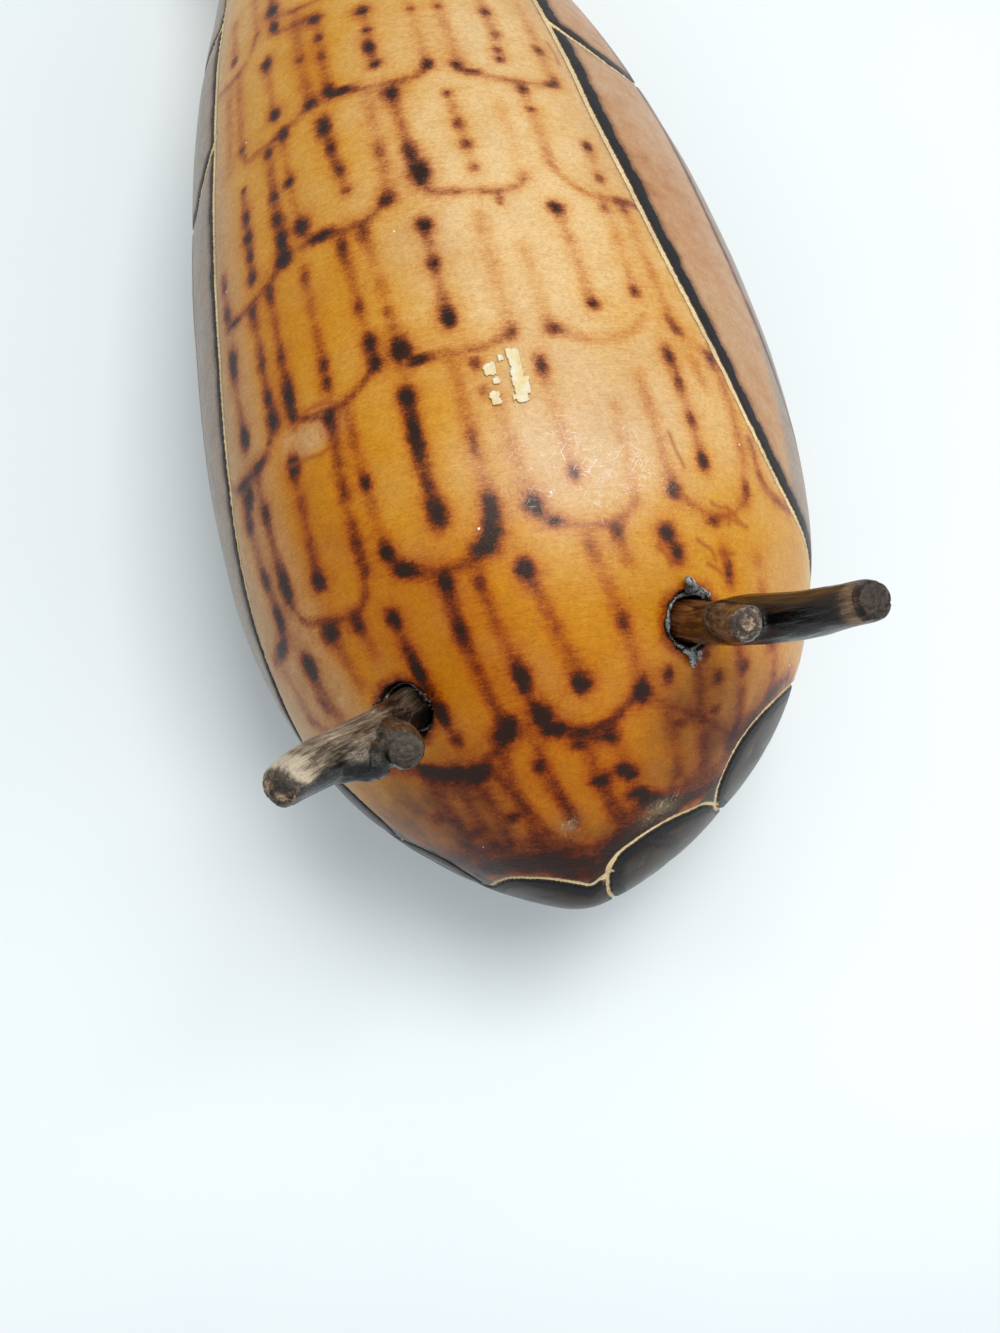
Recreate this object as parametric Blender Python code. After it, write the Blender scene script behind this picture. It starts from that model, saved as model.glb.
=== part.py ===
"""A dried bottle gourd made into a bird that lies on its back: a burnt and carved gourd with two
forked twigs as legs, each glued into a drilled socket in the belly.

The gourd is modelled along its own axis, tail tip at the origin and +Y towards the neck, with the
belly at +Z. An empty then tips it the few degrees that a gourd leans when it lies on its back.
"""

import math

import bmesh
import bpy
import numpy as np
from mathutils import Matrix, Vector

MM = 0.001

# The gourd's outline: distance from the tail tip and radius, in millimetres, with the dried stem at the end.
GOURD_OUTLINE = (
    (0.0, 0.0),
    (4.0, 11.5),
    (12.0, 24.0),
    (25.0, 37.5),
    (42.0, 47.4),
    (62.0, 53.2),
    (85.0, 55.0),
    (110.0, 54.0),
    (140.0, 50.4),
    (172.0, 43.4),
    (202.0, 33.2),
    (226.0, 27.0),
    (246.0, 27.2),
    (259.0, 22.8),
    (266.0, 13.5),
    (269.0, 6.4),
    (274.0, 4.4),
    (280.0, 4.2),
    (282.0, 0.0),
)
SPANS_PER_POINT = 3  # rings from one outline point to the next
SEGMENTS = 56  # facets around the gourd
BACK_FLATNESS = 0.94  # how deep the back is, as a share of the radius
NECK_BEND = 3.2  # sideways sweep of the axis towards -X, 100 mm from the tail

# How it lies: on a small worn flat below its centre of mass.
REST_STATION = 118.0
REST_FLAT_DEPTH = 0.5
FLOOR_CUTTER_SIDE = 90.0
FLOOR_CUTTER_DEPTH = 20.0

# The drilled sockets and what fills them.
SOCKET_RADIUS = 5.5
SOCKET_DEPTH = 12.0
TWIG_SEGMENTS = 14
TWIG_FOOT_GAP = 0.6  # between the twig's foot and the socket's floor
STRAIGHT_ABOVE_SKIN = 5.0  # the twig runs straight this far out of its socket
GLUE_GAP = 0.3
GLUE_DEPTH = 7.0
GLUE_LIP_RADIUS = 6.4
GLUE_LIP_RISE = 0.3
GLUE_LIP_TOP = 1.0
GLUE_TOP = 2.0
GLUE_SEGMENTS = 24

# Each leg: where its socket is, then its fork as centre points in the gourd's own axes, with radii.
LEGS = {
    "left": {
        "station": 28.7,
        "angle": -37.6,
        "foot_radius": 4.2,
        "branch": (((-31.0, 20.0, 45.0), 4.3), ((-37.0, 14.5, 55.0), 4.1), ((-42.2, 8.6, 64.5), 3.4)),
        "stub": (((-27.5, 22.0, 41.0), 3.0), ((-25.8, 15.5, 50.0), 3.1), ((-24.7, 11.8, 56.5), 2.8)),
    },
    "right": {
        "station": 34.7,
        "angle": 32.2,
        "foot_radius": 4.2,
        "branch": (((30.5, 28.0, 50.0), 4.3), ((37.5, 22.5, 62.0), 4.0), ((45.2, 17.6, 75.5), 3.5)),
        "stub": (((27.0, 30.5, 46.0), 3.0), ((27.8, 25.0, 56.0), 3.3), ((27.6, 21.0, 66.0), 3.0)),
    },
}


def clear_scene():
    for obj in list(bpy.data.objects):
        bpy.data.objects.remove(obj)


def material(name, colour, roughness):
    made = bpy.data.materials.new(name)
    made.use_nodes = True
    shader = made.node_tree.nodes["Principled BSDF"]
    shader.inputs["Base Color"].default_value = (*colour, 1.0)
    shader.inputs["Roughness"].default_value = roughness
    shader.inputs["Metallic"].default_value = 0.0
    return made


def smooth_through(points, spans):
    """A Catmull-Rom curve through the points, with its ends mirrored about the axis."""
    first = points[1] * (1, -1)
    last = points[-2] * (1, -1)
    padded = [first, *points, last]
    curve = []
    for before, start, end, after in zip(padded, padded[1:], padded[2:], padded[3:]):
        for i in range(spans):
            t = i / spans
            curve.append(
                0.5
                * (
                    2 * start
                    + (end - before) * t
                    + (2 * before - 5 * start + 4 * end - after) * t**2
                    + (3 * start - before - 3 * end + after) * t**3
                )
            )
    return np.array([*curve, points[-1]])


OUTLINE = smooth_through([np.array(p) for p in GOURD_OUTLINE], SPANS_PER_POINT)


def radius_at(station):
    return float(np.interp(station, OUTLINE[:, 0], OUTLINE[:, 1]))


def slope_at(station, step=1.0):
    return (radius_at(station + step) - radius_at(station - step)) / (2 * step)


def skin_point(station, radius, angle):
    """A point of the gourd's skin, in metres. The angle is in radians from the belly's middle towards +X."""
    depth = 1.0 if math.cos(angle) > 0 else BACK_FLATNESS
    return Vector(
        (
            radius * math.sin(angle) - NECK_BEND * (station / 100) ** 2,
            station,
            radius * depth * math.cos(angle),
        )
    ) * MM


def socket_frame(leg):
    """The middle of a leg's socket on the skin, and the direction straight out of it."""
    angle = math.radians(leg["angle"])
    middle = skin_point(leg["station"], radius_at(leg["station"]), angle)
    outward = Vector((math.sin(angle), -slope_at(leg["station"]), math.cos(angle))).normalized()
    return middle, outward


def new_object(name, bm, finish, parent):
    bmesh.ops.recalc_face_normals(bm, faces=bm.faces)
    mesh = bpy.data.meshes.new(name)
    bm.to_mesh(mesh)
    bm.free()
    mesh.shade_smooth()
    mesh.set_sharp_from_angle(angle=math.radians(40))
    if finish:
        mesh.materials.append(finish)
    obj = bpy.data.objects.new(name, mesh)
    bpy.context.scene.collection.objects.link(obj)
    obj.parent = parent
    return obj


def loft(bm, rings):
    """Skins a list of closed rings of vertices; a ring of one vertex closes the end to a point."""
    for low, high in zip(rings, rings[1:]):
        count = max(len(low), len(high))
        for i in range(count):
            j = (i + 1) % count
            corners = [low[i % len(low)], low[j % len(low)], high[j % len(high)], high[i % len(high)]]
            bm.faces.new(list(dict.fromkeys(corners)))


def hide_as_cutter(obj):
    obj.hide_render = True
    obj.display_type = "WIRE"


def boolean(obj, other, operation):
    modifier = obj.modifiers.new(f"{operation.lower()} {other.name}", "BOOLEAN")
    modifier.operation = operation
    modifier.object = other


def build_gourd(finish, parent):
    bm = bmesh.new()
    rings = []
    for station, radius in OUTLINE:
        if radius <= 0:
            rings.append([bm.verts.new(skin_point(station, 0, 0))])
            continue
        turns = [2 * math.pi * i / SEGMENTS for i in range(SEGMENTS)]
        rings.append([bm.verts.new(skin_point(station, radius, turn)) for turn in turns])
    loft(bm, rings)
    return new_object("gourd", bm, finish, parent)


def cylinder(name, radius, low, high, frame, parent):
    """A cutter along the frame's outward direction, from low to high above the skin."""
    middle, outward = frame
    bm = bmesh.new()
    bmesh.ops.create_cone(
        bm,
        cap_ends=True,
        segments=32,
        radius1=radius * MM,
        radius2=radius * MM,
        depth=(high - low) * MM,
    )
    cutter = new_object(name, bm, None, parent)
    cutter.location = middle + outward * (low + high) / 2 * MM
    cutter.rotation_euler = outward.to_track_quat("Z", "Y").to_euler()
    hide_as_cutter(cutter)
    return cutter


def build_tube(name, points, radii, finish, parent):
    """A round stick along the points: each ring stands square to the path, and the ends are domed a little."""
    bm = bmesh.new()
    side = Vector((0, 1, 0))
    rings = []
    for i, (point, radius) in enumerate(zip(points, radii)):
        along = (points[min(i + 1, len(points) - 1)] - points[max(i - 1, 0)]).normalized()
        side = (side - along * side.dot(along)).normalized()
        across = along.cross(side)
        ring = []
        for k in range(TWIG_SEGMENTS):
            turn = 2 * math.pi * k / TWIG_SEGMENTS
            ring.append(bm.verts.new(point + (side * math.cos(turn) + across * math.sin(turn)) * radius))
        rings.append(ring)
    loft(bm, rings)
    bm.faces.new(reversed(rings[0]))
    bm.faces.new(rings[-1])
    return new_object(name, bm, finish, parent)


def round_off(points, radii):
    """Adds a ring close to the far end, so that the cut end has a rounded rim."""
    end, before = points[-1], points[-2]
    along = (end - before).normalized()
    tip = radii[-1]
    return (
        [*points[:-1], end - along * tip * 0.4, end],
        [*radii[:-1], tip, tip * 0.62],
    )


def build_leg(side, leg, finish, parent):
    middle, outward = socket_frame(leg)
    foot = middle - outward * (SOCKET_DEPTH - TWIG_FOOT_GAP) * MM
    shoulder = middle + outward * STRAIGHT_ABOVE_SKIN * MM
    branch = [Vector(point) * MM for point, _ in leg["branch"]]
    branch_radii = [radius * MM for _, radius in leg["branch"]]
    foot_radius = leg["foot_radius"] * MM
    points, radii = round_off(
        [foot, middle, shoulder, *branch], [foot_radius, foot_radius, foot_radius, *branch_radii]
    )
    twig = build_tube(f"{side}_twig_leg", points, radii, finish, parent)
    stub_points, stub_radii = round_off(
        [Vector(point) * MM for point, _ in leg["stub"]], [radius * MM for _, radius in leg["stub"]]
    )
    stub = build_tube(f"{side}_stub_shape", stub_points, stub_radii, None, parent)
    hide_as_cutter(stub)
    boolean(twig, stub, "UNION")
    return twig


def build_glue(side, leg, finish, parent):
    """A ring of hot glue: a sleeve down the socket, with a lip that stands just proud of the skin."""
    inner = leg["foot_radius"] + GLUE_GAP
    outer = SOCKET_RADIUS - GLUE_GAP
    section = (
        (inner, -GLUE_DEPTH),
        (outer, -GLUE_DEPTH),
        (outer, GLUE_LIP_RISE),
        (GLUE_LIP_RADIUS, GLUE_LIP_RISE),
        (GLUE_LIP_RADIUS, GLUE_LIP_TOP),
        (outer + GLUE_GAP, GLUE_TOP),
        (inner, GLUE_TOP),
    )
    bm = bmesh.new()
    rings = []
    for k in range(GLUE_SEGMENTS):
        turn = 2 * math.pi * k / GLUE_SEGMENTS
        spoke = Vector((math.cos(turn), math.sin(turn), 0))
        rings.append([bm.verts.new((spoke * radius + Vector((0, 0, height))) * MM) for radius, height in section])
    loft(bm, [*rings, rings[0]])
    ring = new_object(f"{side}_glue_ring", bm, finish, parent)
    middle, outward = socket_frame(leg)
    ring.location = middle
    ring.rotation_euler = outward.to_track_quat("Z", "Y").to_euler()
    return ring


def lay_down():
    """The empty that tips the gourd until its back is level at the rest station, with the flat at the origin."""
    tilt = math.atan(BACK_FLATNESS * slope_at(REST_STATION, step=8.0))
    lowest = skin_point(REST_STATION, radius_at(REST_STATION), math.pi)
    turn = Matrix.Rotation(tilt, 4, "X")
    empty = bpy.data.objects.new("lying_gourd", None)
    bpy.context.scene.collection.objects.link(empty)
    empty.location = -(turn @ lowest) - Vector((0, 0, REST_FLAT_DEPTH * MM))
    empty.rotation_euler = (tilt, 0, 0)
    return empty


def floor_cutter():
    """A block under the floor, which shaves the small flat that the gourd rests on."""
    bm = bmesh.new()
    size = (FLOOR_CUTTER_SIDE * MM, FLOOR_CUTTER_SIDE * MM, FLOOR_CUTTER_DEPTH * MM)
    bmesh.ops.create_cube(bm, size=1.0, matrix=Matrix.Diagonal((*size, 1.0)))
    cutter = new_object("floor_cutter", bm, None, None)
    cutter.location = (0, 0, -FLOOR_CUTTER_DEPTH / 2 * MM)
    hide_as_cutter(cutter)
    return cutter


def main():
    clear_scene()
    shell = material("varnished gourd", (0.72, 0.38, 0.10), 0.35)
    bark = material("smoked twig", (0.10, 0.075, 0.05), 0.45)
    hot_glue = material("hot glue", (0.62, 0.60, 0.54), 0.25)
    lying = lay_down()
    gourd = build_gourd(shell, lying)
    for side, leg in LEGS.items():
        frame = socket_frame(leg)
        socket = cylinder(f"{side}_socket_cutter", SOCKET_RADIUS, -SOCKET_DEPTH, SOCKET_DEPTH, frame, lying)
        boolean(gourd, socket, "DIFFERENCE")
        build_leg(side, leg, bark, lying)
        build_glue(side, leg, hot_glue, lying)
    boolean(gourd, floor_cutter(), "DIFFERENCE")


main()
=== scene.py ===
"""The looks of a dried bottle gourd made into a bird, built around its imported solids.

The gourd is modelled again as a fine skin with its gouged lines cut in, and the burnt feathers are worked
out at its vertices as heat, which the material turns into scorched colours. Lengths are millimetres in the
gourd's own axes: tail tip at the origin, +Y towards the neck, belly at +Z. A place on the skin is given by
its angle, in degrees from the belly's middle towards +X, and its station, the distance from the tail tip.
"""

import math

import bmesh
import bpy
import numpy as np
from mathutils import Matrix, Vector, noise
from mathutils.kdtree import KDTree


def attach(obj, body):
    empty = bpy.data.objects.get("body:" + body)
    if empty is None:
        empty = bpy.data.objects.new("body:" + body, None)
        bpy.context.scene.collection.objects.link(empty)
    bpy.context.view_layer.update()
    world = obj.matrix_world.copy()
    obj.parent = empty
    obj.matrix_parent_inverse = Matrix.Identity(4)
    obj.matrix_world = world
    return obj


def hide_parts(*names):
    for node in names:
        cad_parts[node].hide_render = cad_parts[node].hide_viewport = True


MM = 0.001
SEED = 7
FAR = 1e9

# The gourd's outline, station and radius, with the dried stem at its end.
GOURD_OUTLINE = (
    (0.0, 0.0),
    (4.0, 11.5),
    (12.0, 24.0),
    (25.0, 37.5),
    (42.0, 47.4),
    (62.0, 53.2),
    (85.0, 55.0),
    (110.0, 54.0),
    (140.0, 50.4),
    (172.0, 43.4),
    (202.0, 33.2),
    (226.0, 27.0),
    (246.0, 27.2),
    (259.0, 22.8),
    (266.0, 13.5),
    (269.0, 6.4),
    (274.0, 4.4),
    (280.0, 4.2),
    (282.0, 0.0),
)
BACK_FLATNESS = 0.94
NECK_BEND = 3.2  # sideways sweep of the axis towards -X, 100 mm from the tail
REST_STATION = 118.0
REST_FLAT_DEPTH = 0.5
SKIN_INSET = 0.06  # keeps the round skin inside the faceted solid's box

# Where the legs go in, angle and station.
SOCKETS = {"left": (-37.6, 28.7), "right": (33.0, 34.7)}
SOCKET_RADIUS = 4.55

# The forked twigs: the foot's radius, then points and radii along the branch and along the cut stub.
TWIG_FOOT_DEPTH = 11.4
TWIG_SHOULDER = 5.0
TWIGS = {
    "left": (
        4.1,
        (((-31, 20, 45), 4.3), ((-37, 14.0, 55), 4.2), ((-42.5, 7.7, 64.2), 3.8)),
        (((-27.5, 22, 41), 3.2), ((-25.0, 16.8, 50), 3.5), ((-23.9, 13.0, 56.3), 3.3)),
    ),
    "right": (
        3.9,
        (((30.5, 28, 50), 4.3), ((37.5, 22.5, 62), 4.0), ((45.2, 17.6, 75.5), 3.5)),
        (((27, 30.5, 46), 3.0), ((27.8, 25, 56), 3.3), ((27.6, 21, 66), 3.0)),
    ),
}

# The swelling in the fork of the left twig, below its branch.
TWIG_WEBS = {"left": (((-36.0, 14.2, 53.5), 3.3), ((-31.5, 14.2, 52.0), 3.3), ((-26.5, 14.2, 51.0), 3.1))}

# The set glue at each hole: a thin film round the twig, then lumps. Each row holds the bearing round the
# twig in degrees from +Y towards +X, the distance from the twig's middle, the height above the skin, and
# the radius.
GLUE_FILM = {
    "right": (
        (-180, 4.7, -0.2, 0.42), (-150, 4.4, -1.4, 0.35), (-125, 4.4, -1.2, 0.36), (-95, 4.35, -0.9, 0.46),
        (-65, 4.4, -1.3, 0.36), (-40, 4.4, -1.4, 0.33), (-15, 4.6, -0.1, 0.45), (10, 4.6, -0.1, 0.45),
        (35, 4.4, -1.2, 0.35), (70, 4.3, -1.8, 0.32), (110, 4.3, -1.8, 0.32), (145, 4.4, -1.2, 0.35),
        (180, 4.7, -0.2, 0.42),
    ),
    "left": (
        (-180, 4.3, -2.6, 0.35), (-130, 4.3, -2.6, 0.35), (-80, 4.3, -2.2, 0.35), (-52, 4.5, -1.0, 0.40),
        (-25, 4.3, -2.2, 0.35), (15, 4.3, -2.4, 0.35), (52, 4.5, -1.4, 0.40), (78, 4.7, -0.5, 0.45),
        (100, 4.4, -1.8, 0.35), (140, 4.3, -2.6, 0.35), (180, 4.3, -2.6, 0.35),
    ),
}
# How much dirt the glue holds, above or below a half.
GLUE_DIRT = {"left": 0.35, "right": -0.40}
GLUE_LUMPS = {
    "right": (
        (-20, 5.0, 0.2, 0.75), (-14, 5.6, 0.5, 0.90), (-17, 6.3, 0.8, 0.85), (-21, 7.0, 0.8, 0.62),
        (-3, 5.2, 0.4, 0.80), (8, 5.1, 0.3, 0.66), (18, 5.1, 0.25, 0.55), (27, 5.1, 0.1, 0.45),
        (180, 5.3, 0.3, 0.60), (177, 5.9, 0.35, 0.62), (175, 6.6, 0.35, 0.60), (172, 7.2, 0.3, 0.45),
        (168, 5.5, 0.3, 0.66), (163, 6.1, 0.3, 0.55), (158, 5.3, 0.2, 0.50), (-170, 5.1, 0.1, 0.50),
    ),
    "left": (
        (-44, 4.9, 0.0, 0.34), (-50, 5.3, 0.2, 0.36), (-55, 5.8, 0.35, 0.32), (-38, 5.2, 0.2, 0.26),
        (58, 4.9, 0.0, 0.28), (70, 5.1, 0.15, 0.40), (77, 5.6, 0.25, 0.36), (83, 5.1, 0.25, 0.44),
        (90, 5.6, 0.2, 0.30), (97, 5.1, 0.1, 0.30), (104, 5.4, 0.15, 0.22),
    ),
}

# How long the longest edges of the skin's triangles may be.
EDGE_BELLY = 1.15
EDGE_ELSEWHERE = 3.2
EDGE_AT_GROOVE = 0.70
EDGE_NEAR_TAIL = 1.5
EDGE_AT_SOCKET = 0.6
EDGE_AT_CRACK = 0.6
NET_AROUND = 96
NET_RINGS = 92
NET_ROUNDS = 7

GROOVE_HALF_WIDTH = 0.62
GROOVE_DEPTH = 0.5
PILLOW_DEPTH = 0.14  # how far the skin sinks towards a groove
PILLOW_REACH = 2.2
CHAR_REACH = 6.0
CRACK_HALF_WIDTH = 0.42
SOCKET_DEPTH = 5.0  # how far the skin is pushed in where a twig goes through it

# The gouged lines. Each is a smooth line through (angle, station) points. A band of char lies along it on
# one side, as wide as given in millimetres: positive on the left of its direction, seen from outside.
GROOVES = {
    "right_wing_edge": (3.1, (
        (39, 191), (36.5, 178), (35, 160), (34.4, 145), (34, 132), (35.6, 117), (38, 101), (41, 90),
        (45, 80), (50, 70), (57, 62), (66, 57.5), (78, 54.5), (92, 50), (106, 44), (120, 39), (133, 37),
        (145, 42), (155, 53), (161, 70), (165, 100), (164, 130), (159, 158), (150, 182), (134, 198),
        (108, 208), (80, 210), (57, 206), (45, 200), (39, 191),
    )),
    "left_wing_edge": (-1.7, (
        (-54, 188), (-54, 160), (-55, 141), (-57, 121), (-59, 100), (-61.5, 86), (-65, 72), (-69.5, 60),
        (-76, 48.5), (-82, 42), (-89, 37.5), (-102, 34), (-118, 33), (-132, 35), (-145, 42), (-155, 53),
        (-161, 70), (-165, 100), (-164, 130), (-159, 158), (-150, 182), (-134, 198), (-108, 208),
        (-82, 210), (-64, 205), (-56, 197), (-54, 188),
    )),
    "right_covert_low": (2.6, (
        (35, 158), (41, 154.5), (50, 151.5), (60, 152.5), (70, 158), (80, 167), (88, 178),
    )),
    "right_covert_low_back": (2.6, (
        (87, 177), (95, 164), (107, 155), (121, 152), (134, 157), (145, 168), (151, 181),
    )),
    "right_covert_high": (2.2, (
        (40, 193), (49, 186), (60, 183), (72, 186), (82, 194), (87, 201),
    )),
    "right_covert_high_back": (2.2, (
        (85, 198), (95, 188), (107, 184), (120, 187), (129, 195), (132, 199),
    )),
    "left_covert_low": (-2.1, (
        (-54, 151), (-61, 145.5), (-70, 141.5), (-80, 145), (-90, 155), (-97, 168),
    )),
    "left_covert_low_back": (-2.1, (
        (-96, 167), (-104, 157), (-116, 151), (-129, 153), (-141, 163), (-151, 181),
    )),
    "left_covert_high": (-1.9, (
        (-54, 182), (-63, 179.5), (-74, 180), (-84, 186), (-92, 196), (-95, 203),
    )),
    "left_covert_high_back": (-1.9, (
        (-94, 201), (-103, 190), (-115, 186), (-127, 190), (-136, 198),
    )),
    "tail_feather_1": (2.4, (
        (112, 41.5), (96, 36.5), (82, 31.7), (70, 25.6), (65, 21), (66.5, 17), (74, 14), (90, 13.4),
        (112, 17), (134, 24), (150, 33), (156, 45),
    )),
    "tail_feather_2": (2.4, (
        (84, 13.4), (70.6, 12.3), (62, 10.8), (51, 9.0), (37, 6.3), (28.5, 4.6), (27, 3.2), (40, 1.6),
        (70, 0.9), (120, 1.4), (160, 4.2), (171, 12), (173, 26), (171, 44), (168, 62),
    )),
    "tail_feather_3": (2.4, (
        (30, 3.0), (12, 1.7), (-10, 2.2), (-26, 2.9), (-46, 4.0), (-65, 5.2), (-82, 5.9), (-101, 7.1),
        (-122, 12), (-146, 22), (-160, 34), (-165, 50), (-167, 66),
    )),
    "tail_feather_4": (2.4, (
        (-101, 7.1), (-90, 8.6), (-85, 11), (-88, 14.4), (-95, 18), (-108, 23.5), (-122, 28),
        (-134, 34.5),
    )),
    "tail_feather_5": (2.4, (
        (-95, 18), (-86, 20), (-83, 25), (-85, 31), (-89, 37.5),
    )),
}

# Burnt lines between the long feathers of the wings and down the tail, not gouged.
QUILL_LINES = (
    ((61, 198), (62, 185), (62, 168), (62.5, 152), (62.5, 138), (62, 122), (63.4, 106), (66.5, 94),
     (72, 81.5), (81, 69), (92, 60), (104, 54)),
    ((88, 168), (84, 145), (83, 120), (86, 100), (93, 83), (103, 70), (116, 60), (128, 54)),
    ((112, 153), (106, 130), (105, 108), (110, 90), (119, 76), (131, 66), (143, 62)),
    ((134, 157), (129, 130), (128, 108), (132, 90), (140, 77), (150, 71)),
    ((-74, 141.5), (-76, 122), (-78, 102), (-82, 83), (-89, 66), (-99, 54), (-111, 46)),
    ((-98, 161), (-96, 135), (-97, 112), (-101, 91), (-109, 73), (-121, 59), (-134, 51)),
    ((-117, 151), (-115, 130), (-116, 108), (-121, 89), (-130, 73), (-142, 62)),
    ((-136, 157), (-135, 130), (-137, 108), (-142, 90), (-150, 76)),
    ((118, 30), (104, 27), (90, 23), (78, 20)),
    ((140, 12), (120, 8), (95, 6.5), (70, 7.2), (50, 6.6)),
    ((178, 52), (179, 32), (182, 14), (210, 5)),
    ((-150, 13), (-130, 7.5), (-105, 3.6), (-60, 2.2)),
    ((-140, 28), (-124, 21), (-110, 15.5), (-98, 12)),
)

SHELL_SPECULAR = 0.17
TWIG_SPECULAR = 0.3
FLOOR_ROUGHNESS = 0.55

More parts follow.
